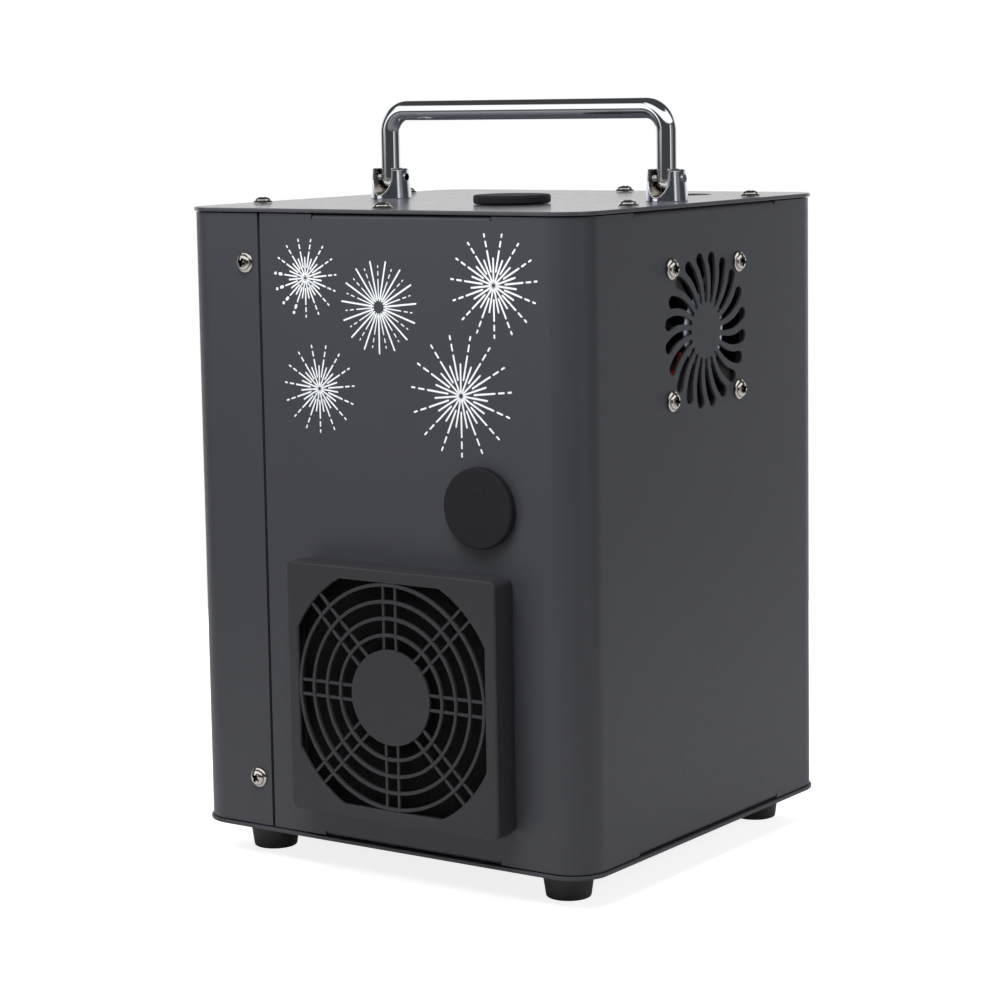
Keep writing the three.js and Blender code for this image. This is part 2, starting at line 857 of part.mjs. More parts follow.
// One blade: a flat plate whose length runs outwards from inside the hub, pitched so that its chord
// climbs from the hub's lower end to its upper end
function fanBlade(hubRadius, tipRadius, [bottom, top]) {
  const pitch = THREE.MathUtils.degToRad(fanBladePitch);
  const chord = (top - bottom - fanBladeThickness * Math.cos(pitch)) / Math.sin(pitch);
  const plate = block(
    [hubRadius - fanBladeRoot, tipRadius + cutOverrun],
    [-chord / 2, chord / 2],
    [-fanBladeThickness / 2, fanBladeThickness / 2],
  );
  const reach = rod(tipRadius, [bottom - cutOverrun, top + cutOverrun], fineSides);
  return shared(plate.rotateX(pitch).translate(0, 0, (bottom + top) / 2), reach);
}

function fanRotor({ depth, boreRadius, hubRadius, bladeCount, strutsOutside }) {
  const hub = strutsOutside
    ? [-depth + seatGap, -fanStrutDepth - seatGap]
    : [-depth + fanStrutDepth + seatGap, -seatGap];
  const shaft = strutsOutside ? [hub[0], -seatGap] : [-depth + seatGap, hub[1]];
  const bladeSpan = [hub[0] + seatGap, hub[1] - seatGap];
  const tip = boreRadius - fanTipGap;
  const blades = Array.from({ length: bladeCount }, (_, blade) => (
    fanBlade(hubRadius, tip, bladeSpan).rotateZ(blade * 2 * Math.PI / bladeCount)
  ));
  return joined(rod(hubRadius, hub, mediumSides), rod(fanShaftRadius, shaft, tinySides), ...blades);
}

const intakeFan = {
  size: intakeSize,
  depth: intakeDepth,
  boreRadius: intakeBoreRadius,
  hubRadius: intakeHubRadius,
  holePitch: intakeHolePitch,
  bladeCount: intakeBladeCount,
  strutsOutside: false,
};

const exhaustFan = {
  size: exhaustSize,
  depth: exhaustDepth,
  boreRadius: exhaustBoreRadius,
  hubRadius: exhaustHubRadius,
  holePitch: exhaustHolePitch,
  bladeCount: exhaustBladeCount,
  strutsOutside: true,
};

// Vent in the right side

function swirlSlot(turn, steps = 5) {
  const reach = slotOuterRadius - slotInnerRadius;
  const stations = Array.from({ length: steps + 1 }, (_, step) => {
    const share = step / steps;
    const radius = slotInnerRadius + share * reach;
    const angle = turn + slotSwirl * share * share;
    const lean = Math.atan(radius * 2 * slotSwirl * share / reach);
    const halfWidth = slotInnerHalfWidth + share * (slotOuterHalfWidth - slotInnerHalfWidth);
    return { middle: polar(radius, angle), heading: angle + lean, halfWidth };
  });
  const beside = ({ middle, heading, halfWidth }, side) => {
    const [x, y] = polar(halfWidth, heading + side);
    return [middle[0] + x, middle[1] + y];
  };
  const right = stations.map((station) => beside(station, -Math.PI / 2));
  const left = stations.map((station) => beside(station, Math.PI / 2)).reverse();
  const outerEnd = [-2, -1, 0, 1, 2].map((part) => beside(stations[steps], part * Math.PI / 6));
  return polygon([...right, ...outerEnd, ...left, beside(stations[0], Math.PI)]);
}

function ventHoles() {
  const place = [ventAcross, ventUp];
  const slots = Array.from({ length: slotCount }, (_, slot) => (
    onWall("right", slab(swirlSlot(slot * 2 * Math.PI / slotCount), throughWall), place)
  ));
  const screws = fourCorners(exhaustHolePitch).map((corner) => (
    onWall("right", rod(screwShankRadius + seatGap, throughWall, tinySides, corner), place)
  ));
  return [...slots, ...screws];
}

// Handle, drawn about its fold axis, which runs along X through both pins

function postPlaces() {
  return [handleAcross - handleSpan / 2, handleAcross + handleSpan / 2];
}

// A path whose stations are given one by one, so that a sweep has exactly one ring at each
class StationPath extends THREE.Curve {
  constructor(stations) {
    super();
    this.stations = stations;
  }

  getPoint(share, target = new THREE.Vector3()) {
    const last = this.stations.length - 1;
    const step = Math.min(Math.floor(share * last), last - 1);
    return target.lerpVectors(this.stations[step], this.stations[step + 1], share * last - step);
  }

  getTangent(share, target = new THREE.Vector3()) {
    const last = this.stations.length - 1;
    const step = Math.round(share * last);
    const after = this.stations[Math.min(step + 1, last)];
    const before = this.stations[Math.max(step - 1, 0)];
    return target.subVectors(after, before).normalize();
  }

  getUtoTmapping(share) {
    return share;
  }
}

function handleBar(bendSteps = 6) {
  const half = handleSpan / 2;
  const top = handleRise - handlePivotUp;
  const bends = [1, 0].map((side) => Array.from({ length: bendSteps + 1 }, (_, step) => {
    const [x, z] = polar(handleBendRadius, (side + step / bendSteps) * Math.PI / 2);
    const middle = (side ? -1 : 1) * (half - handleBendRadius);
    return new THREE.Vector3(middle + x, 0, top - handleBendRadius + z);
  }).reverse());
  const stations = [
    new THREE.Vector3(-half, 0, 0),
    ...bends.flat(),
    new THREE.Vector3(half, 0, 0),
  ];
  const section = new THREE.Shape().absarc(0, 0, handleBarRadius, 0, 2 * Math.PI);
  const sweep = new THREE.ExtrudeGeometry(section, {
    steps: stations.length - 1,
    extrudePath: new StationPath(stations),
    curveSegments: mediumSides / 2,
  });
  const ends = [-half, half].map((x) => (
    new THREE.SphereGeometry(handleBarRadius, mediumSides, tinySides).translate(x, 0, 0)
  ));
  const reach = [-handleBarRadius - cutOverrun, handleBarRadius + cutOverrun];
  const holes = [-half, half].map((x) => (
    rodAlongX(pinRadius + seatGap, reach, tinySides).translate(x, 0, 0)
  ));
  return cut(joined(sweep, ...ends), ...holes);
}

function handlePost() {
  const rivetTop = -plateThickness - 2 * seatGap;
  const body = turned([
    [0, rivetTop - postRivetHeight],
    [postRivetRadius, rivetTop - postRivetHeight],
    [postRivetRadius, rivetTop],
    [postStudRadius, rivetTop],
    [postStudRadius, 0],
    [postBaseRadius, 0],
    [postRadius, postBaseHeight],
    [postTopRadius, postHeight - postChamfer],
    [postTopRadius - postChamfer, postHeight],
    [0, postHeight],
  ]);
  const slotRadius = handleBarRadius + postSlotGap;
  const above = postHeight + cutOverrun;
  const outside = postBaseRadius + cutOverrun;
  const pin = rodAlongX(pinRadius + seatGap, [-outside, outside], tinySides);
  return cut(
    body,
    rod(slotRadius, [handlePivotUp, above], mediumSides),
    rodAlongY(slotRadius, [-outside, 0], mediumSides).translate(0, 0, handlePivotUp),
    new THREE.SphereGeometry(slotRadius, mediumSides, tinySides).translate(0, 0, handlePivotUp),
    block([-slotRadius, slotRadius], [-outside, 0], [handlePivotUp, above]),
    pin.translate(0, 0, handlePivotUp),
  );
}

function handlePin() {
  return rodAlongX(pinRadius, [-postRadius - pinHeadHeight, postRadius + pinHeadHeight], tinySides);
}

// Filler cap and service plug: a rubber disc with a neck that fills its hole

function rubberPlug(radius, thickness) {
  return turned([
    [0, -capNeckDepth],
    [capNeckRadius - capBevel, -capNeckDepth],
    [capNeckRadius, capBevel - capNeckDepth],
    [capNeckRadius, 0],
    [radius, 0],
    [radius, thickness - capBevel],
    [radius - capBevel, thickness],
    [0, thickness],
  ]);
}

// Barrel, heater and air pipe

function heatingBarrel() {
  const bottom = shelfTop + seatGap;
  const body = turned([
    [barrelBoreRadius, bottom],
    [barrelRadius, bottom],
    [barrelRadius, underPlate - barrelFlangeThickness],
    [barrelFlangeRadius, underPlate - barrelFlangeThickness],
    [barrelFlangeRadius, underPlate],
    [barrelBoreRadius, underPlate],
    [barrelBoreRadius, bottom],
  ]);
  const feed = rodAlongY(feedBoreRadius, [-barrelRadius - cutOverrun, 0], smallSides);
  return cut(body, feed.translate(0, 0, feedUp));
}

function heaterBand() {
  const inner = barrelRadius + seatGap;
  const outer = inner + heaterThickness;
  const bottom = shelfTop + heaterRise;
  const heights = [bottom, bottom + heaterHeight];
  const ear = centredBlock(heaterEarWidth, heaterEarLength, heights, [0, outer]);
  const slit = block(
    [-heaterSlit / 2, heaterSlit / 2],
    [0, outer + heaterEarLength],
    [heights[0] - cutOverrun, heights[1] + cutOverrun],
  );
  const bore = rod(inner, [heights[0] - cutOverrun, heights[1] + cutOverrun]);
  return cut(joined(rod(outer, heights), ear), bore, slit);
}

function airPipe() {
  const heights = [shelfUp - pipeDrop, shelfTop + pipeRise];
  return cut(
    rod(pipeRadius, heights),
    rod(pipeRadius - pipeWall, [heights[0] - cutOverrun, heights[1] + cutOverrun]),
  );
}

// Feed line: the block has a bore from the hopper to the barrel, and the screw turns in it

const feedBlockEnd = outletIn - barrelRadius - seatGap;
const feedBlockTop = feedUp + feedBlockWidth / 2;

function feedBlock() {
  const half = feedBlockWidth / 2;
  const floor = shelfTop + seatGap;
  const body = block([-half, half], [feedBlockStart, feedBlockEnd], [floor, feedBlockTop]);
  const bore = rodAlongY(feedBoreRadius, [feedBlockStart - cutOverrun, feedBlockEnd + cutOverrun]);
  const mouthHalf = hopperOutletHalf - hopperWall;
  return cut(
    body,
    bore.translate(0, 0, feedUp),
    centredBlock(2 * mouthHalf, 2 * mouthHalf, [feedUp, feedBlockTop + cutOverrun], [0, hopperOutletIn]),
  );
}

// The feed screw's flight: a rectangle carried along a helix round the core
function feedFlight([start, end]) {
  const turns = (end - start - feedFlightThickness) / feedScrewPitch;
  const steps = Math.round(turns * feedFlightSteps);
  const rims = [feedScrewCoreRadius - feedFlightThickness / 2, feedBoreRadius - feedScrewGap];
  const points = [];
  for (let step = 0; step <= steps; step += 1) {
    const turn = step / feedFlightSteps;
    const along = start + turn * feedScrewPitch;
    for (const [radius, forward] of [[rims[0], 0], [rims[1], 0], [rims[1], 1], [rims[0], 1]]) {
      const [x, z] = polar(radius, turn * 2 * Math.PI);
      points.push(x, along + forward * feedFlightThickness, z);
    }
  }
  const faces = [0, 2, 1, 0, 3, 2];
  for (let step = 0; step < steps; step += 1) {
    for (let side = 0; side < 4; side += 1) {
      const [a, b] = [step * 4 + side, step * 4 + (side + 1) % 4];
      faces.push(a, b, b + 4, a, b + 4, a + 4);
    }
  }
  const last = steps * 4;
  faces.push(last, last + 1, last + 2, last, last + 2, last + 3);
  const geometry = new THREE.BufferGeometry();
  geometry.setAttribute("position", new THREE.Float32BufferAttribute(points, 3));
  geometry.setIndex(faces);
  return geometry;
}

function feedScrew() {
  const start = feedBlockStart + seatGap;
  const end = feedBlockEnd - seatGap;
  const core = rodAlongY(feedScrewCoreRadius, [feedBlockStart - feedShaftLength, end], tinySides);
  return joined(core, feedFlight([start, end]));
}

function feedMotor() {
  const back = feedBlockStart - seatGap;
  const socket = rodAlongY(
    feedScrewCoreRadius + seatGap,
    [back - feedShaftLength - seatGap, back + cutOverrun],
    smallSides,
  );
  const can = rodAlongY(feedMotorRadius, [back - feedMotorLength, back], mediumSides);
  return cut(can, socket);
}

// Hopper: an open-topped funnel whose rim hangs under the top plate

function funnel(inset, [bottom, top]) {
  const left = hopperLeft + inset;
  const right = hopperRight - inset;
  const front = hopperFront + inset;
  const back = hopperBack - inset;
  const half = hopperOutletHalf - inset;
  const narrow = block([-half, half], [-half, half], [bottom, hopperShoulderUp])
    .translate(feedAcross, hopperOutletIn, 0);
  const place = narrow.attributes.position;
  for (let corner = 0; corner < place.count; corner += 1) {
    if (place.getZ(corner) < hopperShoulderUp) continue;
    const x = place.getX(corner) < feedAcross ? left : right;
    const y = place.getY(corner) < hopperOutletIn ? front : back;
    place.setXYZ(corner, x, y, hopperShoulderUp);
  }
  return joined(narrow, block([left, right], [front, back], [hopperShoulderUp, top]));
}

function powderHopper() {
  const bottom = feedBlockTop + seatGap;
  const rim = block(
    [hopperLeft - hopperRimWidth, hopperRight + hopperRimWidth],
    [hopperFront - hopperRimWidth, hopperBack + hopperRimWidth],
    [underPlate - hopperWall, underPlate],
  );
  const inside = funnel(hopperWall, [bottom, underPlate + cutOverrun]);
  const mouthHalf = hopperOutletHalf - hopperWall;
  const mouth = centredBlock(
    2 * mouthHalf,
    2 * mouthHalf,
    [bottom - cutOverrun, bottom + hopperWall],
    [feedAcross, hopperOutletIn],
  );
  return cut(joined(funnel(0, [bottom, underPlate]), rim), inside, mouth);
}

// Chassis bracket: an upright sheet with a foot flange and a shelf

function chassisBracket() {
  const floor = plateThickness + seatGap;
  const face = chassisAcross + sheetThickness;
  const length = [chassisFront, chassisBack];
  const upright = block([chassisAcross, face], length, [floor, chassisTop]);
  const betweenTabs = [tabReach + seatGap, caseDepth - tabReach - seatGap];
  const flange = block(
    [chassisAcross, face + chassisFlange],
    betweenTabs,
    [floor, floor + sheetThickness],
  );
  const shelf = block([chassisAcross, shelfRight], [shelfFront, chassisBack], [shelfUp, shelfTop]);
  const pipeHole = rod(
    pipeRadius + seatGap,
    [shelfUp - cutOverrun, shelfTop + cutOverrun],
    roundSides,
    [outletAcross, outletIn],
  );
  return cut(joined(upright, flange, shelf), pipeHole);
}

// Blower: a snail housing whose duct rises to the air pipe, drawn in an upright plane

const ductHalf = pipeRadius + seatGap + blowerWall;

function snail(inset, depthSpan, top) {
  const radius = blowerRadius - inset;
  const half = ductHalf - inset;
  return [
    rodAlongY(radius, depthSpan).translate(blowerAcross - outletAcross, 0, blowerAxisHeight),
    block([-half, half], depthSpan, [blowerAxisHeight, top]),
  ];
}

function blowerHousing() {
  const outer = [-ductHalf, ductHalf];
  const inner = [-ductHalf + blowerWall, ductHalf - blowerWall];
  const boss = [inner[1] - blowerBossLength, inner[1] + blowerWall / 2];
  const atAxis = (geometry) => geometry.translate(blowerAcross - outletAcross, 0, blowerAxisHeight);
  const shell = cut(
    joined(...snail(0, outer, underShelf)),
    ...snail(blowerWall, inner, underShelf + cutOverrun),
    atAxis(rodAlongY(blowerInletRadius, [outer[0] - cutOverrun, 0])),
  );
  return cut(
    joined(shell, atAxis(rodAlongY(impellerHubRadius, boss, smallSides))),
    atAxis(rodAlongY(fanShaftRadius + seatGap, [boss[0] - cutOverrun, inner[1] - seatGap], smallSides)),
  );
}

function blowerImpeller() {
  const inside = ductHalf - blowerWall;
  const disc = inside - blowerBossLength - seatGap;
  const front = -inside + seatGap;
  const blades = Array.from({ length: impellerBladeCount }, (_, blade) => (
    block(
      [impellerRadius - impellerBladeLength, impellerRadius],
      [front, disc],
      [-impellerBladeThickness / 2, impellerBladeThickness / 2],
    ).rotateY(blade * 2 * Math.PI / impellerBladeCount)
  ));
  return joined(
    rodAlongY(impellerRadius, [disc - impellerDiscThickness, disc], mediumSides),
    rodAlongY(impellerHubRadius, [front + impellerHubRadius, disc], smallSides),
    rodAlongY(fanShaftRadius, [disc - impellerDiscThickness, disc + blowerBossLength], smallSides),
    ...blades,
  );
}

// Power supply and control board

function powerSupply() {
  const bottom = plateThickness + seatGap;
  const body = block([supplyLeft, supplyRight], [supplyFront, supplyBack], [bottom, supplyTop]);
  const terminals = block(
    [supplyLeft - cutOverrun, supplyRight + cutOverrun],
    [supplyBack - supplyTerminalDepth, supplyBack + cutOverrun],
    [supplyTop - supplyTerminalDrop, supplyTop + cutOverrun],
  );
  return cut(body, terminals);
}

function controlBoard() {
  const back = chassisAcross - seatGap - boardStandoffLength;
  const front = back - boardThickness;
  const plate = block([front, back], [boardFront, boardBack], [boardBottom, boardTop]);
  const inset = boardStandoffInset;
  const corners = [boardFront + inset, boardBack - inset].flatMap((into) => (
    [boardBottom + inset, boardTop - inset].map((up) => [into, up])
  ));
  const standoffs = corners.map(([into, up]) => (
    rodAlongX(boardStandoffRadius, [front, back + boardStandoffLength], tinySides)
      .translate(0, into, up)
  ));
  const length = boardBack - boardFront;
  const height = boardTop - boardBottom;
  const partShares = [[0.12, 0.3, 0.55, 0.85], [0.4, 0.62, 0.2, 0.45], [0.7, 0.9, 0.6, 0.9]];
  const parts = partShares.map(([nearShare, farShare, lowShare, highShare]) => block(
    [front - boardPartHeight, front + boardThickness / 2],
    [boardFront + nearShare * length, boardFront + farShare * length],
    [boardBottom + lowShare * height, boardBottom + highShare * height],
  ));
  return joined(plate, ...standoffs, ...parts);
}

// Back panel, each piece drawn about its own centre in the back wall's frame

function pocket(width, height, depthSpan, radius) {
  const outline = roundedRectangle([-width / 2, width / 2], [-height / 2, height / 2], radius);
  return slab(outline, depthSpan);
}

function displayBezel() {
  const bodyWidth = displayWidth - 2 * displayBodyInset;
  const bodyHeight = displayHeight - 2 * displayBodyInset;
  const bodyBack = behindWall - displayBodyDepth;
  return cut(
    joined(
      pocket(displayWidth, displayHeight, [seatGap, displayProud], displayCorner),
      centredBlock(bodyWidth, bodyHeight, [bodyBack, displayProud / 2]),
    ),
    centredBlock(
      displayWindowWidth,
      displayWindowHeight,
      [bodyBack - cutOverrun, displayProud + cutOverrun],
    ),
  );
}

function displayWindow() {
  const width = displayWindowWidth - 2 * seatGap;
  const height = displayWindowHeight - 2 * seatGap;
  const front = displayProud / 2;
  return centredBlock(width, height, [front - displayWindowThickness, front]);
}

function buttonPlaces() {
  return Array.from({ length: buttonCount }, (_, button) => (
    [displayAcross + (button - (buttonCount - 1) / 2) * buttonPitch, buttonUp]
  ));
}

function menuButton() {
  return turned([
    [0, behindWall - buttonFlangeThickness],
    [buttonFlangeRadius, behindWall - buttonFlangeThickness],
    [buttonFlangeRadius, behindWall],
    [buttonRadius, behindWall],
    [buttonRadius, buttonProud - buttonBevel],
    [buttonRadius - buttonBevel, buttonProud],
    [0, buttonProud],
  ], smallSides);
}

// The board behind the display, with one small switch under each button
function displayBoard() {
  const face = behindWall - displayBodyDepth - seatGap;
  const halfWidth = displayWidth / 2 + displayBoardMargin;
  const top = displayHeight / 2 + displayBoardMargin;
  const bottom = buttonUp - displayUp - displayHeight / 2 + displayBoardMargin;
  const plate = block([-halfWidth, halfWidth], [bottom, top], [face - boardThickness, face]);
  const switchTop = behindWall - buttonFlangeThickness - buttonTravel - 2 * seatGap;
  const switches = buttonPlaces().map(([across, up]) => centredBlock(
    buttonSwitchSize,
    buttonSwitchSize,
    [face - boardThickness / 2, switchTop],
    [across - displayAcross, up - displayUp],
  ));
  const posts = [-1, 1].flatMap((side) => [bottom, top].map((edge) => {
    const across = side * (halfWidth - boardStandoffRadius);
    const up = edge - Math.sign(edge) * boardStandoffRadius;
    return rod(boardStandoffRadius, [face - boardThickness / 2, behindWall], tinySides, [across, up]);
  }));
  return joined(plate, ...switches, ...posts);
}

function dataSocket(plugsIn) {
  const cavityFloor = socketFlangeThickness - socketCavityDepth;
  const shell = joined(
    pocket(socketFlangeWidth, socketFlangeHeight, [seatGap, socketFlangeThickness], socketFlangeCorner),
    rod(socketBodyRadius, [-socketBodyDepth, seatGap * 2], mediumSides),
  );
  const pinPlaces = [0, 1, 2].map((pin) => polar(socketPinSpread, (pin + 1) * Math.PI / 2 + Math.PI / 4));
  const above = socketFlangeThickness + cutOverrun;
  if (plugsIn) {
    const pins = pinPlaces.map((place) => rod(
      socketPinRadius,
      [cavityFloor - cutOverrun, cavityFloor + socketPinLength],
      tinySides,
      place,
    ));
    return joined(cut(shell, rod(socketCavityRadius, [cavityFloor, above], mediumSides)), ...pins);
  }
  const recess = rod(socketCavityRadius, [socketFlangeThickness / 2, above], mediumSides);
  const holes = pinPlaces.map((place) => rod(
    socketPinRadius + seatGap,
    [socketFlangeThickness - socketPinLength, above],
    tinySides,
    place,
  ));
  return cut(shell, recess, ...holes);
}

function powerInlet() {
  const cavityFloor = inletFlangeThickness - inletCavityDepth;
  const above = inletFlangeThickness + cutOverrun;
  const shell = joined(
    pocket(inletFlangeWidth, inletFlangeHeight, [seatGap, inletFlangeThickness], inletFlangeCorner),
    centredBlock(inletBodyWidth, inletBodyHeight, [-inletBodyDepth, seatGap * 2]),
  );
  const halfWidth = inletCavityWidth / 2;
  const halfHeight = inletCavityHeight / 2;
  const cavity = slab(polygon([
    [-halfWidth, -halfHeight],
    [halfWidth, -halfHeight],
    [halfWidth, halfHeight - inletCavityChamfer],
    [halfWidth - inletCavityChamfer, halfHeight],
    [inletCavityChamfer - halfWidth, halfHeight],
    [-halfWidth, halfHeight - inletCavityChamfer],
  ]), [cavityFloor, above]);
  const pins = [-1, 0, 1].map((side) => centredBlock(
    inletPinWidth,
    inletPinHeight,
    [cavityFloor - cutOverrun, cavityFloor + inletPinLength],
    [side * inletPinSpread, side === 0 ? inletPinRise : -inletPinRise],
  ));
  return joined(cut(shell, cavity), ...pins);
}

function switchFrame() {
  const rockerSpace = [2 * (rockerHalfWidth + rockerGap), 2 * (rockerReach + rockerGap)];
  const shell = joined(
    pocket(switchFlangeWidth, switchFlangeHeight, [seatGap, switchFlangeThickness], switchFlangeCorner),
    centredBlock(switchBodyWidth, switchBodyHeight, [-switchBodyDepth, seatGap * 2]),
  );
  const pocketFloor = -rockerPivotDepth - rockerReach - rockerGap;
  return cut(shell, centredBlock(...rockerSpace, [pocketFloor, switchFlangeThickness + cutOverrun]));
}

// The rocker's section: a round belly about its pivot, and a shallow crown of two faces
function powerRocker(bellySteps = 8) {
  const belly = Array.from({ length: bellySteps + 1 }, (_, step) => (
    polar(rockerReach, Math.PI + step * Math.PI / bellySteps)
  ));
  const outline = polygon([
    ...belly,
    [rockerReach - rockerGap, rockerCrown],
    [0, rockerCrown * rockerDipShare],
    [rockerGap - rockerReach, rockerCrown],
  ]);
  return slab(outline, [-rockerHalfWidth, rockerHalfWidth]).rotateX(Math.PI / 2).rotateZ(Math.PI / 2);
}

function panelHoles() {
  const bodyHole = (width, height, place) => onWall(
    "back",
    centredBlock(width + 2 * seatGap, height + 2 * seatGap, throughWall),
    place,
  );
  return [
    bodyHole(
      displayWidth - 2 * displayBodyInset,
      displayHeight - 2 * displayBodyInset,
      [displayAcross, displayUp],
    ),
    ...buttonPlaces().map((place) => (
      onWall("back", rod(buttonRadius + seatGap, throughWall, smallSides), place)
    )),
    onWall("back", rod(socketBodyRadius + seatGap, throughWall, mediumSides), [socketInAcross, socketUp]),
    onWall("back", rod(socketBodyRadius + seatGap, throughWall, mediumSides), [socketOutAcross, socketUp]),
    bodyHole(inletBodyWidth, inletBodyHeight, [inletAcross, inletUp]),
    bodyHole(switchBodyWidth, switchBodyHeight, [switchAcross, inletUp]),
  ];
}

// Assembly

const machine = new THREE.Group();

function add(parent, name, geometry, material, place = [0, 0, 0]) {
  const mesh = new THREE.Mesh(geometry, material);
  mesh.name = name;
  mesh.position.set(...place);
  parent.add(mesh);
  return mesh;
}

function wallGroup(wall) {
  const group = new THREE.Group();
  group.applyMatrix4(wallMatrix(wall));
  machine.add(group);
  return group;
}

function addCase() {
  add(machine, "main_shell", mainShell(), materials.caseDark);
  add(machine, "side_cover", sideCover(), materials.caseDark);
  add(machine, "top_plate", topPlate(), materials.caseDark);
  add(machine, "bottom_plate", bottomPlate(), materials.caseDark);
  footPlaces().forEach(([across, into], count) => {
    add(machine, `foot_${count + 1}`, foot(), materials.rubber, [across, into, 0]);
  });
  plateScrewPlaces().forEach(([across, into], count) => {
    const place = [across, into, caseHeight + seatGap];
    add(machine, `top_screw_${count + 1}`, screw(plateScrewLength), materials.nickel, place);
  });
}

function addFront(front, back) {
  const filterPlace = [filterAcross, filterUp, 0];
  add(front, "filter_frame", filterFrame(), materials.guardPlastic, filterPlace);
  add(front, "filter_foam", filterFoam(), materials.foam, filterPlace);
  add(front, "filter_cover", filterCover(), materials.guardPlastic, filterPlace);
  const fanPlace = [filterAcross, filterUp, behindWall];
  add(front, "intake_fan_frame", fanFrame(intakeFan), materials.fanPlastic, fanPlace);
  add(front, "intake_fan_rotor", fanRotor(intakeFan), materials.fanPlastic, fanPlace);
  const plugPlace = [plugAcross, plugUp, seatGap];
  add(front, "service_plug", rubberPlug(plugRadius, plugThickness), materials.rubber, plugPlace);
  coverScrewPlaces().forEach(([wall, [across, up]], count) => {
    const parent = wall === "front" ? front : back;
    const place = [across, up, seatGap];
    add(parent, `cover_screw_${count + 1}`, screw(plateScrewLength), materials.nickel, place);
  });
}

function addVent(right) {
  const fanPlace = [ventAcross, ventUp, behindWall];
  add(right, "exhaust_fan_frame", fanFrame(exhaustFan), materials.fanPlastic, fanPlace);
  add(right, "exhaust_fan_rotor", fanRotor(exhaustFan), materials.fanPlastic, fanPlace);
  fourCorners(exhaustHolePitch).forEach(([across, up], count) => {
    const place = [ventAcross + across, ventUp + up, seatGap];
    add(right, `vent_screw_${count + 1}`, screw(ventScrewLength), materials.nickel, place);
  });
}

function addTop() {
  const pivotUp = caseHeight + seatGap + handlePivotUp;
  add(machine, "handle_bar", handleBar(), materials.chrome, [handleAcross, handleIn, pivotUp]);
  ["left", "right"].forEach((side, count) => {
    const across = postPlaces()[count];
    const base = [across, handleIn, caseHeight + seatGap];
    add(machine, `handle_post_${side}`, handlePost(), materials.chrome, base);
    add(machine, `handle_pin_${side}`, handlePin(), materials.steel, [across, handleIn, pivotUp]);
  });
  const capPlace = [capAcross, capIn, caseHeight + seatGap];
  add(machine, "filler_cap", rubberPlug(capRadius, capThickness), materials.rubber, capPlace);
}

function addInside() {
  const outletPlace = [outletAcross, outletIn, 0];
  add(machine, "heating_barrel", heatingBarrel(), materials.hotSteel, outletPlace);
  add(machine, "heater_band", heaterBand(), materials.steel, outletPlace);
  add(machine, "air_pipe", airPipe(), materials.brass, outletPlace);
  add(machine, "blower_housing", blowerHousing(), materials.fanPlastic, outletPlace);
  const impellerPlace = [blowerAcross, outletIn, blowerAxisHeight];
  add(machine, "blower_impeller", blowerImpeller(), materials.fanPlastic, impellerPlace);
  add(machine, "feed_block", feedBlock(), materials.steel, [feedAcross, 0, 0]);
  add(machine, "feed_screw", feedScrew(), materials.steel, [feedAcross, 0, feedUp]);
  add(machine, "feed_motor", feedMotor(), materials.steel, [feedAcross, 0, feedUp]);
  add(machine, "powder_hopper", powderHopper(), materials.steel);
  add(machine, "chassis_bracket", chassisBracket(), materials.steel);
  add(machine, "power_supply", powerSupply(), materials.steel);
  add(machine, "control_board", controlBoard(), materials.board);
}

function addPanel(back) {
  const displayPlace = [displayAcross, displayUp, 0];
  add(back, "display_bezel", displayBezel(), materials.panelPlastic, displayPlace);
  add(back, "display_window", displayWindow(), materials.window, displayPlace);
  add(back, "display_board", displayBoard(), materials.board, displayPlace);
  buttonPlaces().forEach(([across, up], count) => {
    add(back, `menu_button_${count + 1}`, menuButton(), materials.panelPlastic, [across, up, 0]);
  });
  add(back, "data_in_socket", dataSocket(true), materials.panelPlastic, [socketInAcross, socketUp, 0]);
  add(back, "data_out_socket", dataSocket(false), materials.panelPlastic, [socketOutAcross, socketUp, 0]);
  add(back, "power_inlet", powerInlet(), materials.panelPlastic, [inletAcross, inletUp, 0]);
  add(back, "power_switch_frame", switchFrame(), materials.panelPlastic, [switchAcross, inletUp, 0]);
  const rockerPlace = [switchAcross, inletUp, -rockerPivotDepth];
  const rocker = add(back, "power_rocker", powerRocker(), materials.redPlastic, rockerPlace);
  rocker.rotation.x = THREE.MathUtils.degToRad(rockerTilt);
}

const [front, right, back] = ["front", "right", "back"].map(wallGroup);
addCase();
addFront(front, back);
addVent(right);
addTop();
addInside();
addPanel(back);

// The whole machine stands on its feet, centred on the origin
const bounds = new THREE.Box3().setFromObject(machine, true);
const centre = bounds.getCenter(new THREE.Vector3());
machine.position.set(-centre.x, -centre.y, -bounds.min.z);

const coldSparkMachine = new THREE.Group();
coldSparkMachine.add(machine);
export default coldSparkMachine;
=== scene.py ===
"""The looks of a cold spark machine: its finishes, its fine pieces and a white studio.

Sizes and places are in millimetres in the part's own frame: X to the right as seen from the
front, Y to the back and Z up. Each fine piece is drawn about its own seat, with its third axis
pointing out of the wall that carries it. Angles of arcs are in turns.
"""

import json
import math

import bmesh
import bpy
import numpy as np
from mathutils import Matrix, Vector


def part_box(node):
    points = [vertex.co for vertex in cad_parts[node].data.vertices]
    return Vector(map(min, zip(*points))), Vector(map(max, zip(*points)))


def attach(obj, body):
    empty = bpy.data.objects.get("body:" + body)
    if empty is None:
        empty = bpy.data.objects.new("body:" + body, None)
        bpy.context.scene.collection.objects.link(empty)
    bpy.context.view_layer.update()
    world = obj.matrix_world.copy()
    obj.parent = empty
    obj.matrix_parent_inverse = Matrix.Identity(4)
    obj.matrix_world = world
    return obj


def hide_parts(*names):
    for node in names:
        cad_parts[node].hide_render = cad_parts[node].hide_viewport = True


MM = 0.001
TURN = 2 * math.pi
QUARTER = TURN / 4

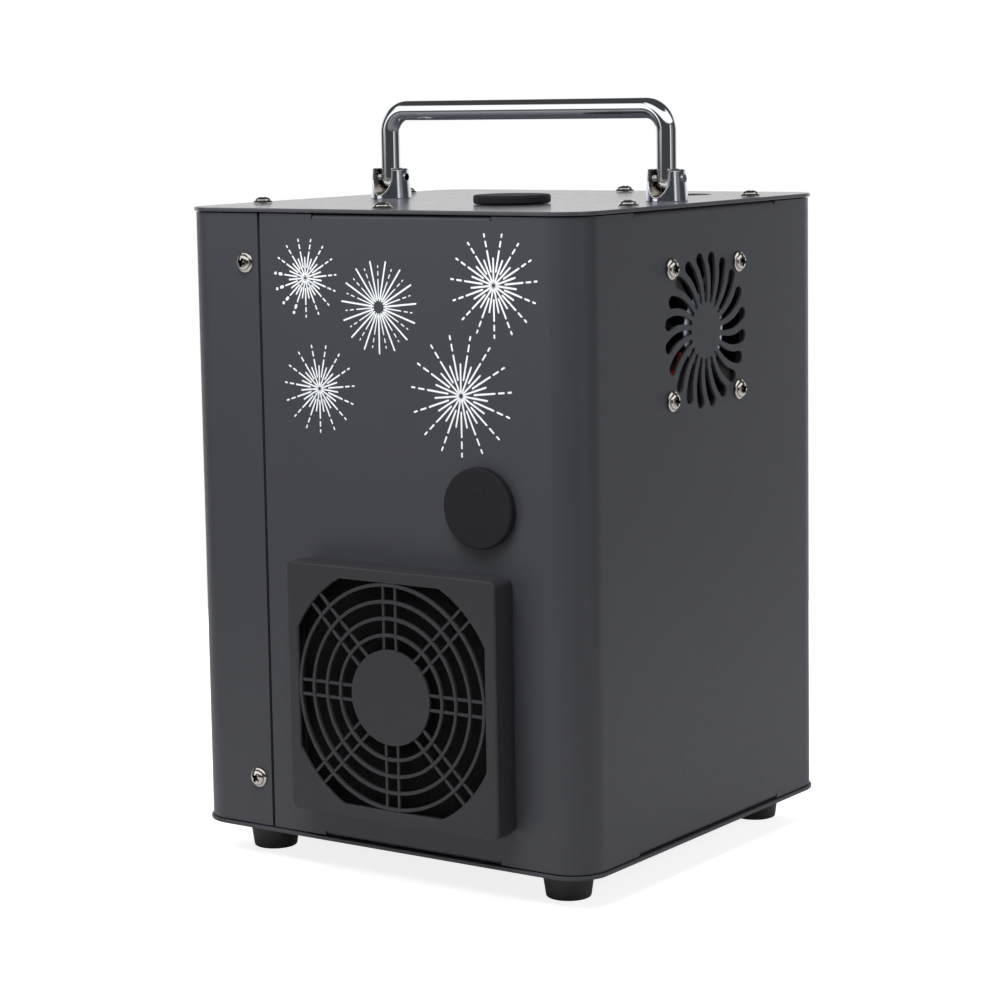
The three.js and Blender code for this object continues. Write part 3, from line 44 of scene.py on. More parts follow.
# Case and plates
CASE_WIDTH = 186
PLATE_CORNER = 14.8
PLATE_EDGE = 0.35
CAP_HOLE = 12.25
OUTLET_HOLE = 10

# Screw heads: a washer, a dome and a cross cut into it
SCREW_HEAD_HEIGHT = 2.2
SCREW_HEAD_RADIUS = 3.2
SCREW_HEAD_ROUNDNESS = 0.95
SCREW_SHANK_RADIUS = 1.5
SCREW_SHANK_LENGTH = 5
WASHER_RADIUS = 4
WASHER_HEIGHT = 0.75
WASHER_EDGE = 0.2
WASHER_UNDERCUT = 0.15
WASHER_SLOPE = 0.3
CROSS_REACH = 2.4
CROSS_WIDTH = 1.3
CROSS_DEPTH = 1.7
CROSS_TAPER = 0.45
CROSS_PIT = 1.25
CROSS_WALL_TILT = 0.6
SCREW_TURN = 2.4

# Filter cover
GUARD_SIZE = 97.5
GUARD_CORNER = 3
GUARD_FACE = 2
GUARD_EDGE = 0.8
GUARD_SKIRT = 1.8
OPENING_HALF = 43.7
OPENING_RADIUS = 49.5
DISC_RADIUS = 18.4
RING_RADIUS = 23.9
RING_PITCH = 6.4
RING_COUNT = 4
RING_WIDTH = 1.4
SPOKE_COUNT = 8
SPOKE_WIDTH = 1.2
SPOKE_SPREAD = 2.8
SPOKE_DROP = 0.35
GRILLE_THICKNESS = 1.6
GRILLE_RECESS = 0.2
GRILLE_EDGE = 0.3

# Handle
BAR_RADIUS = 4
BEND_RADIUS = 9
POST_BASE_RADIUS = 8.3
POST_TOP_RADIUS = 7.4
POST_CHAMFER = 0.6
POST_EDGE = 0.3
POST_GROOVE = 4.7
GROOVE_SLOPE = 0.3
GROOVE_BEAD = 0.32
BEAD_INSET = 0.14
SHAFT_INSET = 0.01
INNER_DEPTH = 0.3
INNER_MARGIN = 0.2
PIN_REACH = 7.9
PIN_HEAD_RADIUS = 1.6
PIN_HEAD_PROUD = 0.2
PIN_HEAD_EDGE = 0.2
PIN_HEAD_DEPTH = 1

# Plugs and feet
PLUG_NECK = 12
PLUG_NECK_DEPTH = 6
PLUG_EDGE = 1.0
FOOT_TOP = 10.4
FOOT_BOTTOM = 8.6
FOOT_RECESS = 4.5
FOOT_RECESS_DEPTH = 4
FOOT_EDGE = 0.8

# Exhaust fan, as seen through the vent: its label, and a wire from the label's rim to the frame's bore
LABEL_RADIUS = 14.4
LABEL_THICKNESS = 0.06
FAN_WALL = 2
WIRE_RADIUS = 0.75
WIRE_START = (LABEL_RADIUS + 3, 0.572)
WIRE_END_TURN = 0.593
WIRE_SAG = 1.5
WIRE_BEND = 6

# Menu buttons
BUTTON_RADIUS = 3.7
BUTTON_EDGE = 0.6
BUTTON_DISH = 0.35
BUTTON_DISH_INSET = 1.2

# Data sockets
SOCKET_WIDTH = 26
SOCKET_HEIGHT = 31
SOCKET_CORNER = 3
SOCKET_THICKNESS = 2
SOCKET_BASE = 0.25
SOCKET_EDGE = 0.4
SOCKET_BODY = 11.2
SOCKET_BODY_TOP = 0.3
SOCKET_DEPTH = 18
SOCKET_CAVITY = 9.3
SOCKET_CAVITY_DEPTH = 13
SOCKET_HOLE = 1.45
SOCKET_HOLE_SPAN = (-8, 4)
SOCKET_PIN = 1.2
SOCKET_PIN_LENGTH = 9
SOCKET_PIN_EDGE = 0.5
SOCKET_PIN_SPREAD = 4.6
SOCKET_PIN_TURNS = (0.375, 0.625, 0.875)
SOCKET_SCREW_INSET = 4
SOCKET_SCREW_DOME = ((1.9, 0), (1.7, 0.45), (0, 0.55))
SOCKET_SCREW_EDGE = 0.2

# Printed bursts on the front: across and up from the case's corner, radius, and which kind
BURSTS = (
    (61.5, 220.1, 15.3, "thick"),
    (96.4, 209.9, 17.8, "hollow"),
    (149.3, 219.4, 19.5, "plain"),
    (67.2, 177.8, 17.1, "plain"),
    (133.8, 178.1, 23.0, "plain"),
)
RAY_COUNT = 15
RAY_WIDTH = 0.72
SMALL_BURST = 18
SMALL_BURST_SHARE = 0.86
PRINT_BASE = 0.01
PRINT_LIFT = 0.05

# Dashes of a long ray and of the short one after it: from and to, as shares of the burst's
# radius, and how many times the usual width
HOLLOW_DASHES = (((0.13, 1.0, 1.1),), ((0.17, 0.6, 0.75), (0.665, 0.77, 0.75), (0.83, 0.89, 0.75)))
PLAIN_DASHES = (((0.25, 0.68, 1.0), (0.73, 0.86, 1.0), (0.915, 1.0, 1.0)), ((0.04, 0.53, 1.0),))

# A thick burst's lower left rays end in heavier dashes
HEAVY_RAYS = range(11, 15)
HEAVY_DASH = 1.9

# Camera, fitted to the photograph: its place from the case's corner, degrees and pixels
CAMERA_CASE_PLACE = (749.19, -858.67, 291.86)
CAMERA_HEADING = -35.394
CAMERA_PITCH = -7.353
CAMERA_ROLL = -0.996
FOCAL_PIXELS = 2871.26
CENTRE_PIXEL = (473.78, 456.42)
IMAGE_PIXELS = 1000
SENSOR_WIDTH = 36

# Floor
FLOOR_RADIUS = 550
FLOOR_THICKNESS = 1
FLOOR_GAP = 0.05
FLOOR_WHITE = 0.5
FLOOR_SHINE = 0.1

# The floor's glow: where it starts and ends, in metres from the middle, and its strengths there
FLOOR_GLOW = (0.16, 0.5, 0.84, 1)

# What metal mirrors, as parts of a unit direction: where a rise starts and ends, or where a
# band starts and ends and how soft its ends are
BACKDROP_AWAY = (0.3, 0.75)
BACKDROP_HEIGHT = (-1.2, 0.34, 0.1)
SOFTBOX_NEAR = (-0.25, 0.05)
SOFTBOX_HEIGHT = (0.36, 0.83, 0.04)
SOFTBOX_ACROSS = (-0.5, -0.35)
LEFT_ACROSS = (-0.78, -0.38, 0.03)
LEFT_HEIGHT = (-0.01, 0.68, 0.05)
LEFT_FORWARD = (0.2, 0.35)
RIGHT_CORE = (0.64, 0.78, 0.03)
RIGHT_HALO = (0.6, 0.97, 0.05)
RIGHT_HEIGHT = (-0.5, 0.3, 0.05)
RIGHT_NEAR = (0.1, 0.3)
FLOOR_BELOW = (0.06, 0.32)

# Studio shades, where 1 is white
STUDIO_SHADE = 0.06
FLOOR_SHADE = 0.3
FILL_SHADE = 0.18
HALO_SHADE = 0.22
SOFTBOX_STRENGTH = 1.3

# Lamps: name, place and size in metres, and watts
LAMP_TARGET = (0, 0, 0.15)
LAMPS = (
    ("key", (0.06, -0.4, 0.68), (0.4, 0.4), 5.8),
    ("side", (0.62, 0.62, 0.1), (0.3, 0.6), 4.1),
    ("rear", (-0.5, 0.62, 0.5), (0.6, 0.6), 6.5),
    ("overhead", (0, 0.2, 2.1), (1.6, 1.2), 10),
)

# Faces that meet at less than this angle are shaded as one surface
SMOOTH_COSINE = math.cos(math.radians(34))

# A turned profile's points nearer than this lie on its axis
AXIS_REACH = 1e-6

# A fillet takes no more than this share of each side
FILLET_SHARE = 0.45

# How far a cutter reaches past what it cuts
CUT_BEYOND = 1

# The usual range of noise, and how fine the noise in a finish's colour, gloss and grain is
NOISE_RANGE = (0.3, 0.7)
MOTTLE_DETAIL = 3
GRAIN_DETAIL = 2
GLOSS_FINER = 3
LEAST_ROUGHNESS = 0.02

# Where each wall points: its own across, up and outward directions
WALLS = {
    "front": ((1, 0, 0), (0, 0, 1), (0, -1, 0)),
    "right": ((0, 1, 0), (0, 0, 1), (1, 0, 0)),
    "back": ((-1, 0, 0), (0, 0, 1), (0, 1, 0)),
    "top": ((1, 0, 0), (0, 1, 0), (0, 0, 1)),
}

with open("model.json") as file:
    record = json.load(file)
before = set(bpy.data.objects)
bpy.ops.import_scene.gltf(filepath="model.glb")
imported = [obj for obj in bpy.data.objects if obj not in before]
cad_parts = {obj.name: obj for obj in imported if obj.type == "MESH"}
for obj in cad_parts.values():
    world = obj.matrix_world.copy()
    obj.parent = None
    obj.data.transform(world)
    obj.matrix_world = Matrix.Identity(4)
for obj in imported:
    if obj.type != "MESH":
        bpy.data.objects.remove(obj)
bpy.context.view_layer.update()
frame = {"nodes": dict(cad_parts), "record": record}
nodes = frame["nodes"]


def corners(node):
    """A node's lowest and highest corners, in millimetres."""
    low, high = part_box(node)
    return low / MM, high / MM


def middle(node):
    low, high = corners(node)
    return (low + high) / 2


SHELL_LOW, SHELL_HIGH = corners("main_shell")
FLOOR = corners("bottom_plate")[0].z
CASE_CORNER = Vector((SHELL_HIGH.x - CASE_WIDTH, SHELL_LOW.y, FLOOR))


def seat(wall, spot, turn=0.0):
    """The matrix that puts a piece drawn in millimetres on a wall, turned about its outward axis."""
    across, up, out = (Vector(v) for v in WALLS[wall])
    basis = Matrix((across, up, out)).transposed().to_4x4()
    return Matrix.Scale(MM, 4) @ Matrix.Translation(Vector(spot)) @ basis @ Matrix.Rotation(turn, 4, "Z")


def behind_tip(node, wall, depth):
    """The middle of a node's outer face, moved inwards by depth."""
    low, high = corners(node)
    out = Vector(WALLS[wall][2])
    tip = high if sum(out) > 0 else low
    centre = (low + high) / 2
    return Vector([t if o else c for t, o, c in zip(tip, out, centre)]) - out * depth


# Materials


def linear(channel):
    share = channel / 255
    return share / 12.92 if share <= 0.04045 else ((share + 0.055) / 1.055) ** 2.4


class Nodes:
    """A node tree, with short calls to add and link nodes and to write sums as nodes."""

    def __init__(self, tree):
        self.tree = tree

    def add(self, kind, **settings):
        node = self.tree.nodes.new(kind)
        for key, value in settings.items():
            if key in node.inputs:
                node.inputs[key].default_value = value
            else:
                setattr(node, key, value)
        return node

    def link(self, start, end):
        self.tree.links.new(start, end)

    def noise(self, size, detail, stretch):
        """Noise whose grains are about size millimetres wide."""
        coordinates = self.add("ShaderNodeTexCoord")
        mapping = self.add("ShaderNodeMapping")
        mapping.inputs["Scale"].default_value = stretch
        self.link(coordinates.outputs["Object"], mapping.inputs["Vector"])
        noise = self.add("ShaderNodeTexNoise")
        noise.inputs["Scale"].default_value = 1 / (size * MM)
        noise.inputs["Detail"].default_value = detail
        self.link(mapping.outputs["Vector"], noise.inputs["Vector"])
        return noise.outputs["Fac"]

    def remap(self, value, start, end, low=0.0, high=1.0, **settings):
        """value's range from start to end, spread over low to high."""
        node = self.add("ShaderNodeMapRange", **settings)
        bounds = {"From Min": start, "From Max": end, "To Min": low, "To Max": high}
        for name, bound in bounds.items():
            node.inputs[name].default_value = bound
        self.link(value, node.inputs["Value"])
        return node.outputs["Result"]

    def step(self, value, low, high):
        """0 below low, 1 above high, and a smooth rise between."""
        return self.remap(value, low, high, interpolation_type="SMOOTHSTEP")

    def band(self, value, low, high, soft):
        """1 between low and high, and 0 elsewhere, with soft ends."""
        rise = self.step(value, low - soft, low + soft)
        fall = self.step(value, high - soft, high + soft)
        return self.compute("SUBTRACT", rise, fall)

    def compute(self, kind, *values):
        node = self.add("ShaderNodeMath", operation=kind)
        for socket, value in zip(node.inputs, values):
            if isinstance(value, (int, float)):
                socket.default_value = value
            else:
                self.link(value, socket)
        return node.outputs["Value"]

    def product(self, first, second):
        return self.compute("MULTIPLY", first, second)

    def larger(self, first, second):
        return self.compute("MAXIMUM", first, second)

    def minus(self, value):
        return self.product(value, -1)


def finish(
    name,
    base,
    roughness,
    metallic=0.0,
    grain=0.0,
    grain_size=0.5,
    mottle=0.06,
    mottle_size=9.0,
    wear=0.05,
    specular=0.5,
    coat=0.0,
    coat_roughness=0.08,
    stretch=(1, 1, 1),
):
    """A finish with a fine grain in its surface, a slow drift in its colour and some uneven gloss."""
    material = bpy.data.materials.new(name)
    material.use_nodes = True
    tree = Nodes(material.node_tree)
    shader = material.node_tree.nodes["Principled BSDF"]
    shader.inputs["Metallic"].default_value = metallic
    shader.inputs["Specular IOR Level"].default_value = specular
    shader.inputs["Coat Weight"].default_value = coat
    shader.inputs["Coat Roughness"].default_value = coat_roughness
    shade = [linear(channel) for channel in base]
    mix = tree.add("ShaderNodeMix", data_type="RGBA")
    mix.inputs["A"].default_value = (*(channel * (1 - mottle) for channel in shade), 1)
    mix.inputs["B"].default_value = (*(channel * (1 + mottle) for channel in shade), 1)
    tree.link(tree.noise(mottle_size, MOTTLE_DETAIL, stretch), mix.inputs["Factor"])
    tree.link(mix.outputs["Result"], shader.inputs["Base Color"])
    gloss = tree.noise(mottle_size / GLOSS_FINER, MOTTLE_DETAIL, stretch)
    low = max(roughness - wear, LEAST_ROUGHNESS)
    tree.link(tree.remap(gloss, *NOISE_RANGE, low, roughness + wear), shader.inputs["Roughness"])
    if grain:
        bump = tree.add("ShaderNodeBump")
        bump.inputs["Distance"].default_value = grain * MM
        tree.link(tree.noise(grain_size, GRAIN_DETAIL, stretch), bump.inputs["Height"])
        tree.link(bump.outputs["Normal"], shader.inputs["Normal"])
    return material


# Each finish's name, its colour on a scale of 255, its roughness and what else sets it apart
FINISHES = {
    name: finish(name, base, roughness, **extra)
    for name, base, roughness, extra in (
        ("case_coat", (57, 58, 64), 0.42, dict(grain=0.05, grain_size=0.45, mottle=0.03, wear=0.03)),
        ("guard_plastic", (41, 41, 45), 0.5, dict(grain=0.04, grain_size=0.6, mottle=0.03)),
        ("foam", (14, 14, 15), 0.95, dict(
            grain=1.2, grain_size=1.1, mottle=0.5, mottle_size=1.4, specular=0.2,
        )),
        ("fan_plastic", (16, 16, 18), 0.42, dict(grain=0.02)),
        ("plug_rubber", (22, 22, 26), 0.62, dict(grain=0.04, grain_size=0.4, specular=0.35)),
        ("foot_rubber", (62, 62, 64), 0.55, dict(grain=0.05, grain_size=0.4, specular=0.4)),
        ("handle_chrome", (226, 229, 234), 0.045, dict(metallic=1, mottle=0.01, wear=0.02)),
        ("nickel", (202, 198, 192), 0.1, dict(metallic=1, mottle=0.02, wear=0.04)),
        ("pin_steel", (208, 208, 210), 0.2, dict(metallic=1)),
        ("hot_steel", (118, 104, 92), 0.4, dict(metallic=1, mottle=0.2, mottle_size=14)),
        ("pipe_brass", (196, 158, 92), 0.3, dict(metallic=1)),
        ("inner_steel", (168, 170, 172), 0.36, dict(metallic=1, stretch=(1, 1, 0.05))),
        ("supply_case", (150, 152, 154), 0.45, dict(metallic=0.6, grain=0.02)),
        ("circuit_board", (22, 84, 48), 0.35, dict(mottle=0.12, mottle_size=4)),
        ("panel_plastic", (21, 21, 23), 0.42, dict(grain=0.025, grain_size=0.5)),
        ("display_window", (15, 24, 58), 0.09, dict(mottle=0.02, coat=1.0)),
        ("rocker_red", (176, 22, 20), 0.26, dict(mottle=0.03, coat=0.4)),
        ("plate_coat", (60, 61, 67), 0.42, dict(
            grain=0.03, grain_size=0.45, mottle=0.03, coat=0.68, coat_roughness=0.16,
        )),
        ("print_white", (236, 240, 243), 0.55, dict(mottle=0.02)),
        ("fan_label", (220, 228, 246), 0.3, dict(metallic=0.35, mottle=0.22, mottle_size=5)),
        ("wire_red", (214, 30, 24), 0.4, dict(mottle=0.03)),
        # Painted shade: a dark nickel for the steep walls of the screws' cross recesses, in place of the
        # shade deep inside them
        ("cross_painted_shade", (40, 38, 36), 0.4, dict(metallic=1, mottle=0.1, mottle_size=2)),
        ("post_chrome", (214, 218, 226), 0.13, dict(metallic=1, mottle=0.02, wear=0.03)),
        ("groove_steel", (214, 208, 200), 0.24, dict(metallic=1, mottle=0.06, mottle_size=3)),
        ("contact_gold", (214, 176, 104), 0.22, dict(metallic=1)),
    )
}


def soften(mesh):
    """Gives each corner the mean normal of the faces that meet there at a shallow angle."""
    faces = [(p.normal.copy(), p.area, p.loop_indices) for p in mesh.polygons]
    places = [tuple(round(c, 6) for c in v.co) for v in mesh.vertices]
    meeting = {}
    for index, polygon in enumerate(mesh.polygons):
        for vertex in polygon.vertices:
            meeting.setdefault(places[vertex], []).append(index)
    normals = [None] * len(mesh.loops)
    for normal, _, loops in faces:
        for loop in loops:
            total = Vector()
            for other in meeting[places[mesh.loops[loop].vertex_index]]:
                there, area, _ = faces[other]
                if there.dot(normal) > SMOOTH_COSINE:
                    total += there * area
            normals[loop] = total.normalized() if total.length > 0 else normal
    mesh.polygons.foreach_set("use_smooth", np.ones(len(mesh.polygons), bool))
    mesh.normals_split_custom_set(normals)


# Outlines and meshes, in millimetres


def polar(radius, turns):
    return (radius * math.cos(TURN * turns), radius * math.sin(TURN * turns))


def arc(centre, radius, start, end, steps):
    """Points round part of a circle."""
    offsets = (polar(radius, start + (end - start) * step / steps) for step in range(steps + 1))
    return [(centre[0] + x, centre[1] + y) for x, y in offsets]


def circle(radius, steps=64, centre=(0, 0)):
    return arc(centre, radius, 0, 1, steps)[:-1]


def rounded_box(width, height, radius, steps=8):
    x, y = width / 2 - radius, height / 2 - radius
    signs = ((1, 1), (-1, 1), (-1, -1), (1, -1))
    return [
        point
        for quarter, (sx, sy) in enumerate(signs)
        for point in arc((sx * x, sy * y), radius, quarter / 4, (quarter + 1) / 4, steps)
    ]


def strip(start, end, width):
    """A rectangle round the line from start to end."""
    a, b = Vector(start), Vector(end)
    side = (b - a).orthogonal().normalized() * width / 2
    return [tuple(p) for p in (a - side, b - side, b + side, a + side)]


def fillet(profile, radius, steps=4):
    """An open profile with each inner corner rounded."""
    points = [Vector(p) for p in profile]
    out = [points[0]]
    for before, corner, after in zip(points, points[1:], points[2:]):
        a, b = before - corner, after - corner
        reach = min(radius / math.tan(a.angle(b) / 2), a.length * FILLET_SHARE, b.length * FILLET_SHARE)
        start, end = corner + a.normalized() * reach, corner + b.normalized() * reach
        for step in range(steps + 1):
            t = step / steps
            out.append(start * (1 - t) ** 2 + corner * 2 * t * (1 - t) + end * t ** 2)
    return [tuple(p) for p in [*out, points[-1]]]


def evaluated(holder):
    """The mesh that an object of the scene comes to. The object is taken out of the scene."""
    bpy.context.view_layer.update()
    result = holder.evaluated_get(bpy.context.evaluated_depsgraph_get())
    mesh = bpy.data.meshes.new_from_object(result)
    bpy.data.objects.remove(holder)
    return mesh


def added(name, data):
    item = bpy.data.objects.new(name, data)
    bpy.context.scene.collection.objects.link(item)
    return item


def spline(curve, points, closed):
    line = curve.splines.new("POLY")
    line.points.add(len(points) - 1)
    for target, point in zip(line.points, points):
        target.co = (*point, 0, 1) if len(point) == 2 else (*point, 1)
    line.use_cyclic_u = closed


def sheet(outlines, low, high, edge=0.0):
    """A flat piece between two heights, with holes where outlines nest, and slightly rounded edges."""
    curve = bpy.data.curves.new("sheet", "CURVE")
    curve.dimensions = "2D"
    curve.fill_mode = "BOTH"
    curve.extrude = (high - low) / 2 - edge
    curve.bevel_depth = edge
    curve.offset = -edge
    curve.bevel_resolution = 2
    for outline in outlines:
        spline(curve, outline, True)
    return turned(evaluated(added("sheet", curve)), Matrix.Translation((0, 0, (low + high) / 2)))


def tube(points, radius, sides=12):
    curve = bpy.data.curves.new("tube", "CURVE")
    curve.dimensions = "3D"
    curve.bevel_depth = radius
    curve.bevel_resolution = sides
    curve.use_fill_caps = True
    spline(curve, points, False)
    return evaluated(added("tube", curve))


def lathe(profile, sides=72):
    """A profile of radius and height, drawn from below out and up, turned round the third axis."""
    places = []
    rings = []
    for radius, height in profile:
        ring = circle(radius, sides) if radius > AXIS_REACH else [(0, 0)]
        rings.append([len(places) + step for step in range(len(ring))])
        places += [(x, y, height) for x, y in ring]
    faces = []
    for lower, upper in zip(rings, rings[1:]):
        for step in range(sides):
            ways = ((lower, step), (lower, step + 1), (upper, step + 1), (upper, step))
            faces.append(tuple(dict.fromkeys(ring[at % len(ring)] for ring, at in ways)))
    mesh = bpy.data.meshes.new("form")
    mesh.from_pydata(places, [], faces)
    return mesh


def as_mesh(form):
    mesh = bpy.data.meshes.new("form")
    form.to_mesh(mesh)
    form.free()
    return mesh


def ball(radius, centre):
    return turned(lathe(arc((0, 0), radius, -0.25, 0.25, 24), sides=48), Matrix.Translation(centre))


def brick(x, y, z):
    """A box between pairs of low and high values."""
    form = bmesh.new()
    bmesh.ops.create_cube(form, size=1)
    for vertex in form.verts:
        spans = zip(vertex.co, (x, y, z))
        vertex.co = Vector([low + (high - low) * (c + 0.5) for c, (low, high) in spans])
    return as_mesh(form)


def turned(mesh, matrix):
    mesh.transform(matrix)
    return mesh


def moved(mesh, x, y, z):
    return turned(mesh, Matrix.Translation((x, y, z)))


def merged(meshes):
    form = bmesh.new()
    for mesh in meshes:
        form.from_mesh(mesh)
    return as_mesh(form)


def carved(mesh, *cutters):
    """mesh with each cutter's space taken out."""
    target = added("carved", mesh)
    helpers = [added("cutter", cutter) for cutter in cutters]
    for helper in helpers:
        modifier = target.modifiers.new("cut", "BOOLEAN")
        modifier.operation = "DIFFERENCE"
        modifier.solver = "MANIFOLD"
        modifier.object = helper
    result = evaluated(target)
    for helper in helpers:
        bpy.data.objects.remove(helper)
    return result


def prism(form, outline, low, high):
    """Adds a straight-sided solid between two heights to a form."""
    bottom, top = ([form.verts.new((x, y, height)) for x, y in outline] for height in (low, high))
    form.faces.new(top)
    form.faces.new(bottom[::-1])
    for index in range(len(outline)):
        form.faces.new((bottom[index - 1], bottom[index], top[index], top[index - 1]))


def place(name, mesh, matrix, body, look, stands_for=()):
    """Puts a mesh drawn in millimetres in the scene as a named piece of a body."""
    mesh = mesh.copy()
    mesh.name = name
    mesh.transform(matrix)
    mesh.materials.clear()
    mesh.materials.append(FINISHES[look])
    soften(mesh)
    piece = added(name, mesh)
    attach(piece, body)
    if stands_for:
        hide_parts(*stands_for)
    return piece


def paint_faces(piece, faces, look):
    """Gives some of a piece's faces a finish of their own."""
    piece.data.materials.append(FINISHES[look])
    for index in faces:
        piece.data.polygons[index].material_index = 1


# The case


def dress_cad_nodes():
    """Gives every node the finish of its material slot."""
    for entry in frame["record"]["subparts"]:
        mesh = nodes[entry["node"]].data
        mesh.materials.clear()
        mesh.materials.append(FINISHES[entry["material_slot"]])
        soften(mesh)


def build_plate(node, holes, look):
    low, high = corners(node)
    centre = (low + high) / 2
    size = high - low
    outline = rounded_box(size.x, size.y, PLATE_CORNER, 16)
    rims = [circle(radius, 64, (x - centre.x, y - centre.y)) for x, y, radius in holes]
    mesh = sheet([outline, *rims], -size.z / 2, size.z / 2, PLATE_EDGE)
    place(f"{node}_sheet", mesh, seat("top", centre), "case", look, [node])


def build_plates():
    cap, outlet = middle("filler_cap"), middle("air_pipe")
    build_plate("top_plate", [(cap.x, cap.y, CAP_HOLE), (outlet.x, outlet.y, OUTLET_HOLE)], "plate_coat")
    build_plate("bottom_plate", [], "case_coat")


# Screws


def screw_mesh():
    rise = SCREW_HEAD_HEIGHT - WASHER_HEIGHT
    dome = [
        (SCREW_HEAD_RADIUS * x ** SCREW_HEAD_ROUNDNESS, WASHER_HEIGHT + rise * y ** SCREW_HEAD_ROUNDNESS)
        for x, y in arc((0, 0), 1, 0, 0.25, 18)[:-1]
    ]
    profile = [
        (0, -SCREW_SHANK_LENGTH),
        (SCREW_SHANK_RADIUS, -SCREW_SHANK_LENGTH),
        (SCREW_SHANK_RADIUS, 0),
        (WASHER_RADIUS - WASHER_UNDERCUT, 0),
        (WASHER_RADIUS, WASHER_EDGE),
        (WASHER_RADIUS - WASHER_SLOPE, WASHER_HEIGHT - WASHER_EDGE),
        *dome,
        (0, SCREW_HEAD_HEIGHT),
    ]
    floor = SCREW_HEAD_HEIGHT - CROSS_DEPTH
    above = SCREW_HEAD_HEIGHT + CUT_BEYOND
    arms = []
    for turn in (0, 1):
        arm = brick((-0.5, 0.5), (-0.5, 0.5), (-0.5, 0.5))
        for vertex in arm.vertices:
            deep = vertex.co.z < 0
            reach = 2 * CROSS_REACH * (CROSS_TAPER if deep else 1)
            vertex.co = (vertex.co.x * reach, vertex.co.y * CROSS_WIDTH, floor if deep else above)
        arms.append(turned(arm, Matrix.Rotation(turn * QUARTER, 4, "Z")))
    pit = lathe([(0, floor), (CROSS_PIT, above), (0, above)], sides=24)
    return carved(lathe(profile, sides=48), *arms, pit)


def in_shaded_cross(face):
    """Whether a screw's face is a steep wall of its cross, which gets a dark finish as painted shade."""
    inside = math.hypot(*face.center[:2]) < CROSS_REACH
    in_head = WASHER_HEIGHT / 2 < face.center.z < SCREW_HEAD_HEIGHT
    return inside and in_head and abs(face.normal.z) < CROSS_WALL_TILT


def build_screws():
    mesh = screw_mesh()
    cross = [face.index for face in mesh.polygons if in_shaded_cross(face)]
    walls = {"top_screw": ["top"] * 6, "cover_screw": ["front", "back"] * 2, "vent_screw": ["right"] * 4}
    count = 0
    for stem, sides in walls.items():
        for index, wall in enumerate(sides, 1):
            count += 1
            node = f"{stem}_{index}"
            matrix = seat(wall, behind_tip(node, wall, SCREW_HEAD_HEIGHT), count * SCREW_TURN)
            head = place(f"{node}_fine", mesh, matrix, "case", "nickel", [node])
            # The cross's steep walls get painted shade, a dark finish standing in for the shade in the
            # recess
            paint_faces(head, cross, "cross_painted_shade")


# Filter cover


def opening_outline():
    """A square with its corners cut off by a circle."""
    reach = math.acos(OPENING_HALF / OPENING_RADIUS) / TURN
    return [
        point
        for quarter in range(4)
        for point in arc((0, 0), OPENING_RADIUS, quarter / 4 + reach, (quarter + 1) / 4 - reach, 10)
    ]


def build_guard():
    low, high = corners("filter_cover")
    depth = high.y - low.y
    spot = Vector((middle("filter_cover").x, high.y, middle("filter_cover").z))
    outline = rounded_box(GUARD_SIZE, GUARD_SIZE, GUARD_CORNER)
    inside = GUARD_SIZE - 2 * GUARD_SKIRT
    inner = rounded_box(inside, inside, GUARD_CORNER - GUARD_SKIRT)
    top = depth - GRILLE_RECESS
    floor = top - GRILLE_THICKNESS
    meshes = [
        sheet([outline, opening_outline()], depth - GUARD_FACE, depth, GUARD_EDGE),
        sheet([outline, inner], 0, depth - GUARD_FACE + GUARD_EDGE),
        sheet([circle(DISC_RADIUS, 96)], floor, top, GRILLE_EDGE),
    ]
    for ring in range(RING_COUNT):
        radius = RING_RADIUS + ring * RING_PITCH
        rims = [circle(radius + side * RING_WIDTH / 2, 120) for side in (1, -1)]
        meshes.append(sheet(rims, floor, top, GRILLE_EDGE))
    last_ring = RING_RADIUS + (RING_COUNT - 1) * RING_PITCH
    rim = math.sqrt(DISC_RADIUS**2 - SPOKE_SPREAD**2) - GRILLE_EDGE
    for spoke in range(SPOKE_COUNT):
        outer = OPENING_RADIUS + SPOKE_WIDTH if spoke % 2 else last_ring
        turn = Matrix.Rotation(spoke * TURN / SPOKE_COUNT, 4, "Z")
        for side in (-SPOKE_SPREAD, SPOKE_SPREAD):
            bar = strip((rim, side), (outer, side), SPOKE_WIDTH)
            meshes.append(turned(sheet([bar], floor, top - SPOKE_DROP, GRILLE_EDGE), turn))
    matrix = seat("front", spot)
    place("guard", merged(meshes), matrix, "filter_front", "guard_plastic", ["filter_cover"])


# Handle


def build_handle():
    low, high = corners("handle_bar")
    pivot = Vector((middle("handle_bar").x, middle("handle_bar").y, low.z + BAR_RADIUS))
    half = (high.x - low.x) / 2 - BAR_RADIUS
    rise = high.z - pivot.z - BAR_RADIUS
    left = arc((BEND_RADIUS - half, rise - BEND_RADIUS), BEND_RADIUS, 0.5, 0.25, 18)
    right = arc((half - BEND_RADIUS, rise - BEND_RADIUS), BEND_RADIUS, 0.25, 0, 18)
    path = [(x, 0, z) for x, z in [(-half, 0), *left, *right, (half, 0)]]
    ends = [ball(BAR_RADIUS, (side * half, 0, 0)) for side in (-1, 1)]
    bar = merged([tube(path, BAR_RADIUS, 14), *ends])
    place("handle_tube", bar, seat("top", pivot), "handle", "handle_chrome", ["handle_bar"])
    for side in ("left", "right"):
        build_post(side, pivot)


def post_radius(height, up):
    """The conical body's radius at a height."""
    share = min(up / (height - POST_CHAMFER), 1)
    return POST_BASE_RADIUS + (POST_TOP_RADIUS - POST_BASE_RADIUS) * share


def post_front(height, x, z):
    """How far the conical body reaches in front of its axis at a place across and up."""
    return math.sqrt(post_radius(height, z) ** 2 - x * x)


def groove_stretch(forward):
    """How many times deeper than wide the groove is below the pivot, at a distance in front of it."""
    return 1 + GROOVE_SLOPE * forward / POST_GROOVE


